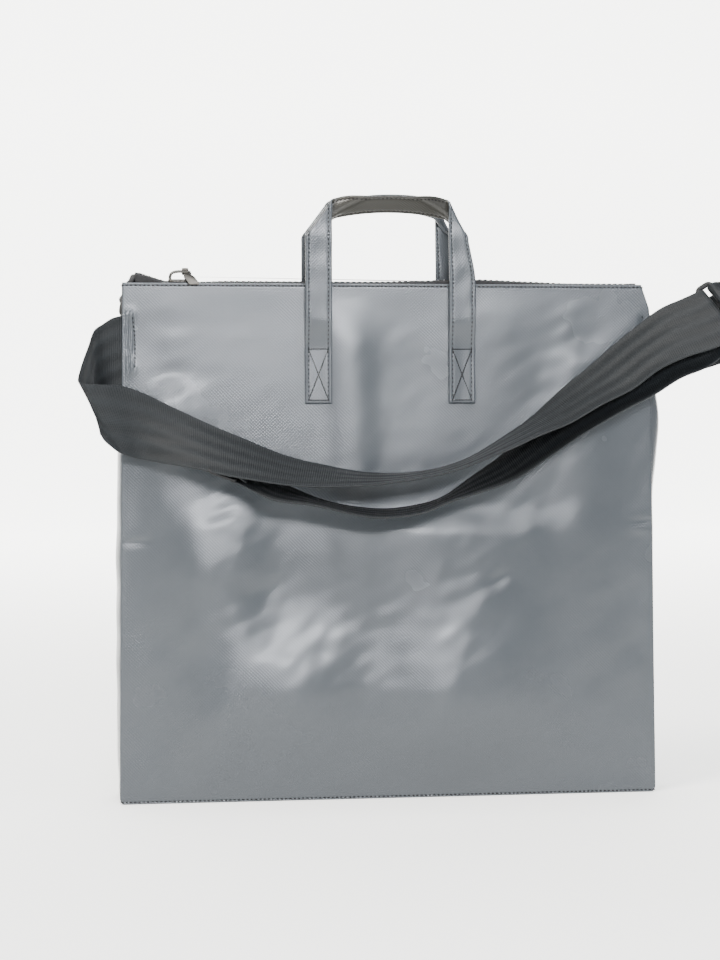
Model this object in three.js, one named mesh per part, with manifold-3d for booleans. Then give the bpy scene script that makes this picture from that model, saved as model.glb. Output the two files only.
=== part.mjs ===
// Flat zip-top tote bag in coated tarpaulin: two panels, two side gussets and a base, a chunky moulded
// zipper, two short carry handles and a webbing shoulder strap that hangs across the front.
// Millimetres. X is to the right seen from the front, the front faces -Y, Z is up, and the origin is the
// middle of the base on the floor.
import * as THREE from "three";
import { mergeVertices } from "three/addons/utils/BufferGeometryUtils.js";
import Module from "manifold-3d";

const wasm = await Module();
wasm.setup();

// ---- Driving dimensions ----
const GAP = 0.3; // air between two pieces that touch

const BAG_HEIGHT = 374;
const BASE_WIDTH = 394;
const TOP_WIDTH = 386;
const BASE_DEPTH = 44;
const TOP_DEPTH = 16;
const CROWN = 6; // how far a panel's middle stands out past its side edges
const WALL = 1; // tarpaulin with its lining
const CORNER_SLANT = 6; // how far the right top corner is drawn in
const CORNER_SLANT_HEIGHT = 18;
const LEFT_GUSSET_BULGE = 3;
const RIGHT_GUSSET_BULGE = 6;

const CHAIN_BOTTOM = BAG_HEIGHT - 1.7; // the zipper stands just proud of the panels
const CHAIN_THICKNESS = 2.8;
const CHAIN_HALF_WIDTH = 4.2;
const CHAIN_END = 184; // the chain runs between X = -184 and X = +184
const BEAD_WIDTH = 1.6;
const TEETH_INSET = 0.65; // from the middle of the chain to the tooth tips
const TOOTH_PITCH = 4.2;
const TOOTH_WIDTH = 2;
const TAPE_THICKNESS = 0.7;
const TAPE_DROP = 16;
const STOP_LENGTH = 5;

const SLIDER_X = -152;
const SLIDER_LENGTH = 16;
const SLIDER_HALF_WIDTH = 5.3;
const SLIDER_PLATE = 1.2;
const BAIL_WIRE = 1.8;
const BAIL_HEIGHT = 5.4;
const PULL_BARREL_LENGTH = 4.6;
const PULL_BARREL_RADIUS = 2.4;
const PULL_LENGTH = 15;
const PULL_WIDTH = 8;
const PULL_THICKNESS = 1.3;

const HANDLE_WIDTH = 19.5;
const HANDLE_THICKNESS = 2.2;
const HANDLE_SPACING = 105; // between the middles of the two legs
const HANDLE_SEWN_BOTTOM = 287;
const HANDLE_SEWN_TOP = 327;
const HANDLE_SHOULDER = 404;
const HANDLE_TOP = 438;
const HANDLE_BAND_HEIGHT = 16.2; // the top band turns its face up, so it shows less than its width

const WEBBING = 50;
const WEBBING_THICKNESS = 1.6;
const STRAP_SEAM_Z = 327;
const STRAP_SEAM_Y = -8.6;
const STRAP_SEWN_LENGTH = 18; // webbing caught inside the side seam
const STRAP_EXIT = 200; // X where the sewn webbing ends and the strap swings from
const RING_WIRE = 4;
const RING_REACH = 11; // between the ring's two long bars
const RING_INNER = 52;
const ADJUSTER_LENGTH = 20;
const ADJUSTER_INNER = 50.6;
const ADJUSTER_BAR = 2.4;
const ADJUSTER_THICKNESS = 2.4;

// ---- Materials ----
const finish = (color, roughness, metalness = 0) =>
  new THREE.MeshStandardMaterial({ color, roughness, metalness });
const tarpaulin = () => finish(0x8b9197, 0.3);
const darkWebbing = () => finish(0x3b4043, 0.75);
const tapeCloth = () => finish(0x1b1b1c, 0.9);
const mouldedBlack = () => finish(0x17171a, 0.45);
const gunmetal = () => finish(0x6f6c66, 0.35, 1);

// ---- Geometry helpers ----
const V = (x, y, z) => new THREE.Vector3(x, y, z);
const mix = THREE.MathUtils.lerp;

function signedVolume(position, index) {
  const a = V(), b = V(), c = V();
  let six = 0;
  for (let i = 0; i < index.length; i += 3) {
    a.fromBufferAttribute(position, index[i]);
    b.fromBufferAttribute(position, index[i + 1]);
    c.fromBufferAttribute(position, index[i + 2]);
    six += a.dot(b.cross(c));
  }
  return six / 6;
}

// A closed solid from surface(u, v, side): side 0 and side 1 are its two skins, joined round the rim.
function skinSolid(surface, across, along) {
  const points = [];
  for (const side of [0, 1])
    for (let j = 0; j <= along; j++)
      for (let i = 0; i <= across; i++) points.push(...surface(i / across, j / along, side).toArray());
  const layer = (across + 1) * (along + 1);
  const at = (i, j, side) => side * layer + j * (across + 1) + i;
  const index = [];
  const quad = (a, b, c, d) => index.push(a, b, c, a, c, d);
  for (let j = 0; j < along; j++)
    for (let i = 0; i < across; i++) {
      quad(at(i, j, 0), at(i + 1, j, 0), at(i + 1, j + 1, 0), at(i, j + 1, 0));
      quad(at(i, j, 1), at(i, j + 1, 1), at(i + 1, j + 1, 1), at(i + 1, j, 1));
    }
  for (let i = 0; i < across; i++) {
    quad(at(i, 0, 1), at(i + 1, 0, 1), at(i + 1, 0, 0), at(i, 0, 0));
    quad(at(i, along, 0), at(i + 1, along, 0), at(i + 1, along, 1), at(i, along, 1));
  }
  for (let j = 0; j < along; j++) {
    quad(at(0, j, 0), at(0, j + 1, 0), at(0, j + 1, 1), at(0, j, 1));
    quad(at(across, j, 1), at(across, j + 1, 1), at(across, j + 1, 0), at(across, j, 0));
  }
  const geometry = new THREE.BufferGeometry();
  geometry.setAttribute("position", new THREE.Float32BufferAttribute(points, 3));
  if (signedVolume(geometry.getAttribute("position"), index) < 0) index.reverse();
  geometry.setIndex(index);
  geometry.computeVertexNormals();
  return geometry;
}

// A flat strip of constant width. Each station gives one edge as a point and the direction across the
// strip to its other edge; the strip follows smooth curves through the stations.
function strip(stations, width, thickness, steps) {
  const near = new THREE.CatmullRomCurve3(stations.map((s) => s.edge), false, "centripetal");
  const far = new THREE.CatmullRomCurve3(
    stations.map((s) => s.edge.clone().addScaledVector(s.across.clone().normalize(), width)),
    false,
    "centripetal",
  );
  const middle = (v) => near.getPoint(v).add(far.getPoint(v)).multiplyScalar(0.5);
  const surface = (u, v, side) => {
    const a = near.getPoint(v);
    const across = far.getPoint(v).sub(a);
    const ahead = middle(Math.min(1, v + 0.004)).sub(middle(Math.max(0, v - 0.004)));
    const normal = ahead.cross(across).normalize();
    return a.addScaledVector(across, u).addScaledVector(normal, (side - 0.5) * thickness);
  };
  return skinSolid(surface, 2, steps);
}

const station = (x, y, z, dx, dy, dz) => ({ edge: V(x, y, z), across: V(dx, dy, dz) });

function solid(geometry) {
  const bare = geometry.clone();
  for (const name of ["normal", "uv"]) if (bare.getAttribute(name)) bare.deleteAttribute(name);
  const merged = mergeVertices(bare, 1e-3);
  return new wasm.Manifold(
    new wasm.Mesh({
      numProp: 3,
      vertProperties: merged.getAttribute("position").array,
      triVerts: new Uint32Array(merged.index.array),
    }),
  );
}

function geometryOf(manifold) {
  const made = manifold.getMesh();
  const geometry = new THREE.BufferGeometry();
  geometry.setAttribute("position", new THREE.BufferAttribute(made.vertProperties.slice(), 3));
  geometry.setIndex(new THREE.BufferAttribute(made.triVerts.slice(), 1));
  geometry.computeVertexNormals();
  return geometry;
}

const join = (...parts) => geometryOf(parts.map(solid).reduce((a, b) => a.add(b)));
const cut = (part, ...tools) => geometryOf(tools.map(solid).reduce((a, b) => a.subtract(b), solid(part)));

// A box between two corners.
function block(x0, x1, y0, y1, z0, z1) {
  const box = new THREE.BoxGeometry(x1 - x0, y1 - y0, z1 - z0);
  return box.translate((x0 + x1) / 2, (y0 + y1) / 2, (z0 + z1) / 2);
}

const bag = new THREE.Group();

function add(name, geometry, material, parent = bag) {
  const mesh = new THREE.Mesh(geometry, material);
  mesh.name = name;
  parent.add(mesh);
  return mesh;
}

// ---- The shell ----
const bagWidth = (z) => mix(BASE_WIDTH, TOP_WIDTH, z / BAG_HEIGHT);
const edgeDepth = (z) => mix(BASE_DEPTH, TOP_DEPTH, z / BAG_HEIGHT) / 2;

// Distance of a panel's outer face from the middle plane.
function panelDepth(x, z) {
  const share = Math.min(1, Math.abs(x) / (bagWidth(z) / 2));
  const rise = Math.sin(Math.PI * Math.pow(Math.max(z, 0) / BAG_HEIGHT, 0.75));
  return edgeDepth(z) + CROWN * Math.cos((share * Math.PI) / 2) * Math.max(0, rise);
}

function panel(facing) {
  const surface = (u, v, side) => {
    const z = v * BAG_HEIGHT;
    const above = Math.max(0, z - (BAG_HEIGHT - CORNER_SLANT_HEIGHT)) / CORNER_SLANT_HEIGHT;
    const left = -bagWidth(z) / 2;
    const right = bagWidth(z) / 2 - CORNER_SLANT * above;
    const x = mix(left, right, u);
    return V(x, facing * (panelDepth(x, z) - side * WALL), z);
  };
  return skinSolid(surface, 12, 21);
}
add("front_panel", panel(-1), tarpaulin());
add("back_panel", panel(1), tarpaulin());

const insideBase = BASE_DEPTH / 2 - WALL - GAP;
const baseHalfLength = BASE_WIDTH / 2 - WALL - 2 * GAP;
add(
  "base_panel",
  block(-baseHalfLength, baseHalfLength, -insideBase, insideBase, 0, WALL),
  tarpaulin(),
);

function gusset(hand, bulge) {
  const bottom = WALL + GAP;
  const top = BAG_HEIGHT - TAPE_DROP - 6;
  const surface = (u, v, side) => {
    const z = mix(bottom, top, v);
    const back = edgeDepth(z) - WALL - GAP;
    const front = back - WEBBING_THICKNESS - GAP; // the strap's sewn end lies between it and the panel
    const swell = bulge * Math.sin(Math.PI * u) * Math.sin(Math.PI * v);
    return V(hand * (bagWidth(z) / 2 - WALL + swell + side * WALL), mix(-front, back, u), z);
  };
  return skinSolid(surface, 6, 12);
}
add("gusset_left", gusset(-1, LEFT_GUSSET_BULGE), tarpaulin());
add("gusset_right", gusset(1, RIGHT_GUSSET_BULGE), tarpaulin());

// ---- The zipper ----
const chainTop = CHAIN_BOTTOM + CHAIN_THICKNESS;
const tapeBottom = CHAIN_BOTTOM + (CHAIN_THICKNESS - TAPE_THICKNESS) / 2;
const panelInside = TOP_DEPTH / 2 - WALL - GAP;

// The tape: a flat margin beside the chain that turns down inside the panel, where it is sewn.
function tape(facing) {
  const outer = panelInside;
  const profile = new THREE.Shape([
    new THREE.Vector2(CHAIN_HALF_WIDTH + GAP, tapeBottom),
    new THREE.Vector2(outer - TAPE_THICKNESS, tapeBottom),
    new THREE.Vector2(outer - TAPE_THICKNESS, tapeBottom - TAPE_DROP),
    new THREE.Vector2(outer, tapeBottom - TAPE_DROP),
    new THREE.Vector2(outer, tapeBottom + TAPE_THICKNESS),
    new THREE.Vector2(CHAIN_HALF_WIDTH + GAP, tapeBottom + TAPE_THICKNESS),
  ]);
  const length = 2 * CHAIN_END - 2 * GAP;
  const geometry = new THREE.ExtrudeGeometry(profile, { depth: length, bevelEnabled: false, steps: 1 });
  // Profile X becomes world Y, profile Y becomes world Z, and the extrusion runs along X.
  geometry.applyMatrix4(new THREE.Matrix4().makeBasis(V(0, 1, 0), V(0, 0, 1), V(1, 0, 0)));
  geometry.translate(-length / 2, 0, 0);
  if (facing < 0) geometry.rotateZ(Math.PI);
  return geometry;
}
add("zipper_tape_front", tape(-1), tapeCloth());
add("zipper_tape_back", tape(1), tapeCloth());

// One row of moulded teeth on their bead.
function comb(facing) {
  const from = -CHAIN_END + STOP_LENGTH + 2 * GAP;
  const to = CHAIN_END - STOP_LENGTH - 2 * GAP;
  const bead = CHAIN_HALF_WIDTH - BEAD_WIDTH;
  const phase = facing < 0 ? 0 : TOOTH_PITCH / 2;
  const outline = [new THREE.Vector2(to, CHAIN_HALF_WIDTH), new THREE.Vector2(from, CHAIN_HALF_WIDTH)];
  outline.push(new THREE.Vector2(from, bead));
  for (let x = from + 1 + phase; x + TOOTH_WIDTH < to - 1; x += TOOTH_PITCH)
    outline.push(
      new THREE.Vector2(x, bead),
      new THREE.Vector2(x, TEETH_INSET),
      new THREE.Vector2(x + TOOTH_WIDTH, TEETH_INSET),
      new THREE.Vector2(x + TOOTH_WIDTH, bead),
    );
  outline.push(new THREE.Vector2(to, bead));
  const row = outline.map((p) => new THREE.Vector2(p.x, facing * p.y));
  const geometry = new THREE.ExtrudeGeometry(new THREE.Shape(row), {
    depth: CHAIN_THICKNESS,
    bevelEnabled: false,
    steps: 1,
  });
  return geometry.translate(0, 0, CHAIN_BOTTOM);
}
add("zipper_teeth_front", comb(-1), mouldedBlack());
add("zipper_teeth_back", comb(1), mouldedBlack());

for (const [side, facing] of [["front", -1], ["back", 1]]) {
  const y = [facing * TEETH_INSET, facing * CHAIN_HALF_WIDTH].sort((a, b) => a - b);
  add(
    "zipper_top_stop_" + side,
    block(-CHAIN_END, -CHAIN_END + STOP_LENGTH, y[0], y[1], CHAIN_BOTTOM, chainTop),
    mouldedBlack(),
  );
}
add(
  "zipper_bottom_stop",
  block(CHAIN_END - STOP_LENGTH, CHAIN_END, -CHAIN_HALF_WIDTH, CHAIN_HALF_WIDTH, CHAIN_BOTTOM, chainTop),
  mouldedBlack(),
);

// The tape's loose ends are folded down over the top of each gusset.
const END_TAB_THICKNESS = 1.2;
const END_TAB_HALF_WIDTH = 5;
const END_TAB_HEIGHT = 20;
for (const [side, hand] of [["left", -1], ["right", 1]]) {
  const inner = CHAIN_END + GAP;
  const x = [hand * inner, hand * (inner + END_TAB_THICKNESS)].sort((a, b) => a - b);
  add(
    "zipper_end_tab_" + side,
    block(x[0], x[1], -END_TAB_HALF_WIDTH, END_TAB_HALF_WIDTH, tapeBottom - END_TAB_HEIGHT, tapeBottom),
    tapeCloth(),
  );
}

// ---- Slider and pull ----
const sliderTop = chainTop + GAP + SLIDER_PLATE;

function sliderBody() {
  const x0 = SLIDER_X - SLIDER_LENGTH / 2;
  const x1 = SLIDER_X + SLIDER_LENGTH / 2;
  const flangeFrom = CHAIN_HALF_WIDTH + GAP;
  const tapeTop = tapeBottom + TAPE_THICKNESS;
  const bottomHalf = panelInside - TAPE_THICKNESS - GAP;
  const parts = [
    block(x0, x1, -SLIDER_HALF_WIDTH, SLIDER_HALF_WIDTH, chainTop + GAP, sliderTop),
    block(x0, x1, -bottomHalf, bottomHalf, CHAIN_BOTTOM - GAP - SLIDER_PLATE, CHAIN_BOTTOM - GAP),
    block(x0 + 1, x0 + 5, -TEETH_INSET + 0.2, TEETH_INSET - 0.2, CHAIN_BOTTOM - 1, chainTop + 1),
  ];
  for (const facing of [-1, 1]) {
    const y = [facing * flangeFrom, facing * SLIDER_HALF_WIDTH].sort((a, b) => a - b);
    parts.push(block(x0, x1, y[0], y[1], tapeTop + GAP, chainTop + 1));
  }
  return join(...parts);
}
add("zipper_slider_body", sliderBody(), gunmetal());

// The bail: a cast arch along the slider whose straight top carries the pull.
const bailBase = sliderTop + GAP;
const bailTop = bailBase + BAIL_HEIGHT;
const pullX = SLIDER_X + 4.2;

function bail() {
  const route = new THREE.CatmullRomCurve3(
    [
      V(SLIDER_X - 6.6, 0, bailBase),
      V(SLIDER_X - 6.4, 0, bailBase + 2.4),
      V(SLIDER_X - 4.6, 0, bailTop - 0.9),
      V(SLIDER_X - 1.2, 0, bailTop),
      V(SLIDER_X + 3, 0, bailTop),
      V(SLIDER_X + 7, 0, bailTop),
      V(SLIDER_X + 7.9, 0, bailTop - 1.6),
      V(SLIDER_X + 7.9, 0, bailBase),
    ],
    false,
    "centripetal",
  );
  const section = new THREE.Shape();
  section.absarc(0, 0, BAIL_WIRE / 2, 0, 2 * Math.PI);
  return new THREE.ExtrudeGeometry(section, { extrudePath: route, steps: 22, curveSegments: 8 });
}
add("slider_bail", bail(), gunmetal());

// The pull: a barrel round the bail and a skewed flat tab that lies over the front edge.
const PULL_DROP = THREE.MathUtils.degToRad(41);
const PULL_SKEW = 0.42; // sideways run for each millimetre of length

function pull() {
  const barrel = new THREE.CylinderGeometry(PULL_BARREL_RADIUS, PULL_BARREL_RADIUS, PULL_BARREL_LENGTH, 14);
  barrel.rotateZ(Math.PI / 2).translate(pullX, 0, bailTop);
  const bore = new THREE.CylinderGeometry(1, 1, PULL_BARREL_LENGTH + 2, 12);
  bore.scale(1, BAIL_WIRE / 2 + GAP, BAIL_WIRE / 2 + GAP).rotateZ(Math.PI / 2);
  const hole = new THREE.CylinderGeometry(
    BAIL_WIRE / 2 + GAP, BAIL_WIRE / 2 + GAP, PULL_BARREL_LENGTH + 2, 12,
  );
  hole.rotateZ(Math.PI / 2).translate(pullX, 0, bailTop);
  const from = PULL_BARREL_RADIUS - 0.5;
  const surface = (u, v, side) => {
    const along = mix(from, PULL_LENGTH, v);
    const width = mix(PULL_BARREL_LENGTH, PULL_WIDTH, Math.min(1, v * 2));
    const x = pullX + (u - 0.5) * width + PULL_SKEW * (along - from);
    const off = (0.5 - side) * PULL_THICKNESS;
    const y = -along * Math.cos(PULL_DROP) + off * Math.sin(PULL_DROP);
    const z = bailTop - along * Math.sin(PULL_DROP) - off * Math.cos(PULL_DROP);
    return V(x, y, z);
  };
  return geometryOf(solid(barrel).add(solid(skinSolid(surface, 1, 4))).subtract(solid(hole)));
}
add("pull_tab", pull(), gunmetal());

// ---- Carry handles ----
// The sewn ends lie flat on the panel; the loop stands up from them and its top band turns its face up.
function handleEnd(facing, middle) {
  const surface = (u, v, side) => {
    const x = middle + (u - 0.5) * HANDLE_WIDTH;
    const z = mix(HANDLE_SEWN_BOTTOM, HANDLE_SEWN_TOP, v);
    return V(x, facing * (panelDepth(x, z) + GAP + (1 - side) * HANDLE_THICKNESS), z);
  };
  return skinSolid(surface, 2, 6);
}

const handleFoot = HANDLE_SEWN_TOP + 2 * GAP;
const HANDLE_STANDOFF = 0.8; // the legs bow clear of the panel so that the pull can pass behind them
const handleDepth =
  panelDepth(HANDLE_SPACING / 2, handleFoot) + GAP + HANDLE_STANDOFF + HANDLE_THICKNESS / 2;

function handleLoop(facing) {
  const y = facing * handleDepth;
  const outer = HANDLE_SPACING / 2 + HANDLE_WIDTH / 2;
  const bandLean = -facing * Math.sqrt(HANDLE_WIDTH ** 2 - HANDLE_BAND_HEIGHT ** 2);
  const half = (hand) => [
    station(hand * outer, y, handleFoot, -hand, 0, 0),
    station(hand * outer, y, 368, -hand, 0, 0),
    station(hand * (outer - 0.6), y, HANDLE_SHOULDER, -hand, 0, 0),
    station(hand * (outer - 9), y, HANDLE_TOP - 14, -hand * 14, bandLean * 0.35, -9),
    station(hand * (outer - 24), y, HANDLE_TOP - 3.5, -hand * 7, bandLean * 0.8, -12),
  ];
  const top = station(0, y, HANDLE_TOP, 0, bandLean, -HANDLE_BAND_HEIGHT);
  return strip([...half(-1), top, ...half(1).reverse()], HANDLE_WIDTH, HANDLE_THICKNESS, 44);
}

for (const [side, facing] of [["front", -1], ["back", 1]]) {
  for (const [place, hand] of [["left", -1], ["right", 1]])
    add(
      "handle_" + side + "_end_" + place,
      handleEnd(facing, (hand * HANDLE_SPACING) / 2),
      tarpaulin(),
    );
  add("handle_" + side + "_loop", handleLoop(facing), tarpaulin());
}

// ---- Shoulder strap ----
// Webbing caught in each side seam, behind the front panel's edge.
for (const [side, hand] of [["left", -1], ["right", 1]]) {
  const x = [hand * STRAP_EXIT, hand * (STRAP_EXIT - STRAP_SEWN_LENGTH)].sort((a, b) => a - b);
  const surface = (u, v, s) => {
    const z = mix(STRAP_SEAM_Z - WEBBING / 2, STRAP_SEAM_Z + WEBBING / 2, v);
    return V(mix(x[0], x[1], u), -edgeDepth(z) + WALL + GAP + s * WEBBING_THICKNESS, z);
  };
  add("strap_sewn_end_" + side, skinSolid(surface, 2, 4), darkWebbing());
}

// Every strap station: the upper edge, then the way across to the lower edge.
const seamTop = STRAP_SEAM_Z + WEBBING / 2;
const strapStart = STRAP_EXIT + GAP;

// From the left seam the webbing runs out, folds round towards the front and crosses the bag.
const foldStations = [
  station(-strapStart, STRAP_SEAM_Y, seamTop, 0, 0, -1),
  station(-210, STRAP_SEAM_Y - 1, 346, -1, -6, -48),
  station(-220, -15, 335, 5, -18, -46),
  station(-224.5, -23, 318, 16, -22, -42),
  station(-221, -27, 305, 23, -17, -43),
  station(-212, -26, 301, 23, -12, -46),
];
add("webbing_left_fold", strip(foldStations, WEBBING, WEBBING_THICKNESS, 26), darkWebbing());

// The ring's own axes: along its long bars, out along the strap, and through its thickness.
const ringBar = V(19, -28, -35).normalize();
const ringOut = V(0.89, -0.21, 0.41).addScaledVector(ringBar, -V(0.89, -0.21, 0.41).dot(ringBar)).normalize();
const ringFace = ringOut.clone().cross(ringBar);
const ringNear = V(236, -38, 349);
const ringFar = ringNear.clone().addScaledVector(ringOut, RING_REACH);
const TURN_RADIUS = RING_WIRE / 2 + GAP + WEBBING_THICKNESS / 2 + 0.9;

// A strip edge at an angle round one of the ring's bars: 0 is outwards, 90 is behind.
function roundBar(bar, degrees) {
  const a = THREE.MathUtils.degToRad(degrees);
  const centre = bar
    .clone()
    .addScaledVector(ringOut, TURN_RADIUS * Math.cos(a))
    .addScaledVector(ringFace, TURN_RADIUS * Math.sin(a));
  return { edge: centre.addScaledVector(ringBar, -WEBBING / 2), across: ringBar.clone() };
}

const turnAngles = [-95, -60, -20, 20, 60, 95];
const turnStations = turnAngles.map((a) => roundBar(ringNear, a));
add("webbing_ring_turn", strip(turnStations, WEBBING, WEBBING_THICKNESS, 12), darkWebbing());

// Where a run of webbing meets one end of the turn, a little short of it.
function meetTurn(end) {
  return { edge: end.edge.clone().addScaledVector(ringOut, -2 * GAP), across: end.across };
}

const frontRunStations = [
  station(-211, -26, 300.9, 23, -12, -46),
  station(-190, -20, 299, 11, -14, -50),
  station(-158, -19, 285, 3, -29, -41),
  station(-122, -21, 268, -4, -41, -29),
  station(-82, -21, 252, -8, -45, -20),
  station(-48, -20.6, 242, -8, -48, -12),
  station(-8, -21.3, 236.5, -7, -49, -5),
  station(27, -21.2, 239, -5, -50, -2),
  station(49, -21, 244.5, -2, -50, -0.5),
  station(70, -20.6, 255, 0, -50, -2),
  station(91, -20.2, 269, 4, -50, -5),
  station(113, -19.8, 286, 6, -48, -13),
  station(133, -19.5, 304, 10, -46, -18),
  station(156, -19, 323, 12, -42, -25),
  station(178, -19.4, 341, 10, -40, -29),
  station(198, -22, 356, 10, -34, -35),
  station(212, -24.6, 362.6, 15, -31, -36),
  meetTurn(turnStations[0]),
];
add("webbing_front_run", strip(frontRunStations, WEBBING, WEBBING_THICKNESS, 64), darkWebbing());

const rearRunStations = [
  meetTurn(turnStations[turnStations.length - 1]),
  station(213, -17.5, 351, 14, -31, -37),
  station(196, -15.5, 339.5, 10, -36, -34),
  station(177, -15.6, 325, 9, -39, -31),
  station(155, -15.8, 309, 8, -43, -26),
  station(132, -16, 291.5, 6, -45, -22),
  station(106, -17.2, 271, 4, -46, -19),
  station(80, -18.8, 249, 2, -47, -15),
  station(57, -20, 232.5, -3, -49, -8),
  station(36, -21, 219, -4, -50, -1),
  station(20, -21.6, 214, -6, -49, -2.5),
  station(-5, -22, 211, -7, -49, -3),
  station(-34, -21.6, 214, -6, -49, -2),
  station(-64, -20.8, 223, -5, -49, -5),
  station(-90, -19.8, 235.5, -3, -47, -13),
  station(-104, -19, 243.5, -3, -45, -19),
];
add("webbing_rear_run", strip(rearRunStations, WEBBING, WEBBING_THICKNESS, 60), darkWebbing());

// A flat frame with two long bars and two short ones, in the axes given.
function frame(centre, bar, out, wire, reach, inner, thickness, hasMiddleBar) {
  const halfOut = reach / 2 + wire / 2;
  const halfBar = inner / 2 + wire;
  const holes = hasMiddleBar
    ? [[-reach / 2 + wire / 2, -wire / 2], [wire / 2, reach / 2 - wire / 2]]
    : [[-reach / 2 + wire / 2, reach / 2 - wire / 2]];
  const plate = block(-halfBar, halfBar, -halfOut, halfOut, -thickness / 2, thickness / 2);
  const tools = holes.map(([y0, y1]) => block(-inner / 2, inner / 2, y0, y1, -thickness, thickness));
  const placed = new THREE.Matrix4().makeBasis(bar, out, bar.clone().cross(out)).setPosition(centre);
  return cut(plate, ...tools).applyMatrix4(placed);
}

const ringMiddle = ringNear.clone().add(ringFar).multiplyScalar(0.5);
add(
  "strap_ring",
  frame(ringMiddle, ringBar, ringOut, RING_WIRE, RING_REACH, RING_INNER, RING_WIRE, false),
  mouldedBlack(),
);

// The ring's own tab: from the right seam out behind the ring, round and back to the ring's far bar.
const tabEnd = ringFar.clone().addScaledVector(ringOut, RING_WIRE / 2 + GAP);
const tabStations = [
  station(strapStart, STRAP_SEAM_Y, seamTop, 0, 0, -1),
  station(212, STRAP_SEAM_Y, 357, 2, 0, -50),
  station(232, -9, 363, 8, -3, -49),
  station(250, -12, 371, 14, -10, -46),
  station(258, -18, 376, 17, -20, -40),
  station(255, -24.5, 378, 18, -26, -37),
  {
    edge: tabEnd.clone().addScaledVector(ringOut, 4).addScaledVector(ringBar, -WEBBING / 2),
    across: ringBar.clone(),
  },
  { edge: tabEnd.clone().addScaledVector(ringBar, -WEBBING / 2), across: ringBar.clone() },
];
add("ring_tab_webbing", strip(tabStations, WEBBING, WEBBING_THICKNESS, 30), darkWebbing());

// The length adjuster that the rear run is sewn to, flat under the front run.
const adjusterBar = V(-4, -41, -29).normalize();
const frontRunWay = V(36, -1, -16.5);
const adjusterAlong = frontRunWay.addScaledVector(adjusterBar, -frontRunWay.dot(adjusterBar)).normalize();
const adjusterBelow = adjusterAlong.clone().cross(adjusterBar);
const ADJUSTER_CLEARANCE = 5;
const adjusterCentre = V(-119, -21, 266.6)
  .addScaledVector(adjusterBar, WEBBING / 2 + 2.6)
  .addScaledVector(adjusterBelow, WEBBING_THICKNESS / 2 + ADJUSTER_THICKNESS / 2 + ADJUSTER_CLEARANCE);
add(
  "strap_adjuster",
  frame(
    adjusterCentre, adjusterBar, adjusterAlong, ADJUSTER_BAR, ADJUSTER_LENGTH,
    ADJUSTER_INNER, ADJUSTER_THICKNESS, true,
  ),
  mouldedBlack(),
);

export default bag;
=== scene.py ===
"""Flat zip-top tote bag in gloss tarpaulin, with carry handles and a webbing shoulder strap.

Every piece of the bag is made by one operator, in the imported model's frame. Sizes inside the geometry
functions are in millimetres; objects are in metres. X is to the right seen from the front, the front
faces -Y and Z is up.
"""

import math

import bmesh
import bpy
import numpy as np
from mathutils import Matrix, Vector


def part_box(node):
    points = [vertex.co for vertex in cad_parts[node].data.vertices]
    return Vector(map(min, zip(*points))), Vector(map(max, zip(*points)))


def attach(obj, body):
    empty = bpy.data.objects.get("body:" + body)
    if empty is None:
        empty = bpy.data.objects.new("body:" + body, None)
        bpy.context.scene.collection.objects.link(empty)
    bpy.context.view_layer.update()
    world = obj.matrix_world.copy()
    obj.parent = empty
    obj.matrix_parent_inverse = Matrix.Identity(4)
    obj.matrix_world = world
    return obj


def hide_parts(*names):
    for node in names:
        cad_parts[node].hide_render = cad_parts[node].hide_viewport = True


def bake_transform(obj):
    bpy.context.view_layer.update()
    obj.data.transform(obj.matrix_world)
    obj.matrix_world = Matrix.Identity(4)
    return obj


bl_info = {
    "name": "Tarpaulin Tote Bag",
    "version": (1, 0, 0),
    "blender": (4, 5, 0),
    "location": "3D View > Sidebar > Tote Bag",
    "description": "Builds a zip-top tarpaulin tote with carry handles and a webbing strap",
    "category": "Add Mesh",
}

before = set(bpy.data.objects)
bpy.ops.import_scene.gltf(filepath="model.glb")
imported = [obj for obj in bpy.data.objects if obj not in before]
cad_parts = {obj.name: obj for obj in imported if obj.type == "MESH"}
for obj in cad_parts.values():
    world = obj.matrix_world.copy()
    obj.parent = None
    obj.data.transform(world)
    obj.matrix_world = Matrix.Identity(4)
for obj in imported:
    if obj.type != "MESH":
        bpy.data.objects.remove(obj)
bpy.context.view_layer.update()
MM = 0.001
PANEL_LOW, PANEL_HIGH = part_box("front_panel")
HANDLE_LOW, HANDLE_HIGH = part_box("handle_front_end_left")
BASE_LOW, BASE_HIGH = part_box("base_panel")


# ---- Sizes and colours that a user would change ----
class TOTE_PG_shell(bpy.types.PropertyGroup):
    height: bpy.props.FloatProperty(
        name="Height", description="Height of the two panels",
        default=PANEL_HIGH[2] - PANEL_LOW[2], unit="LENGTH")
    wall: bpy.props.FloatProperty(
        name="Wall", description="Thickness of the tarpaulin with its lining",
        default=0.001, unit="LENGTH")
    sag: bpy.props.FloatProperty(
        name="Sag", description="How far the front panel bellies out below the strap",
        default=0.0095, unit="LENGTH")
    wrinkle: bpy.props.FloatProperty(
        name="Wrinkles", description="Depth of the handling wrinkles in the panels",
        default=0.00028, unit="LENGTH")
    stitch_inset: bpy.props.FloatProperty(
        name="Hem stitch inset", description="Distance of the hem stitches from the top edge",
        default=0.002, unit="LENGTH")


class TOTE_PG_stitching(bpy.types.PropertyGroup):
    pitch: bpy.props.FloatProperty(
        name="Pitch", description="Distance between two stitches", default=0.0031, unit="LENGTH")
    length: bpy.props.FloatProperty(
        name="Length", description="Visible length of one stitch", default=0.0020, unit="LENGTH")
    thread: bpy.props.FloatProperty(
        name="Thread", description="Thickness of the sewing thread", default=0.00095, unit="LENGTH")


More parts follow.
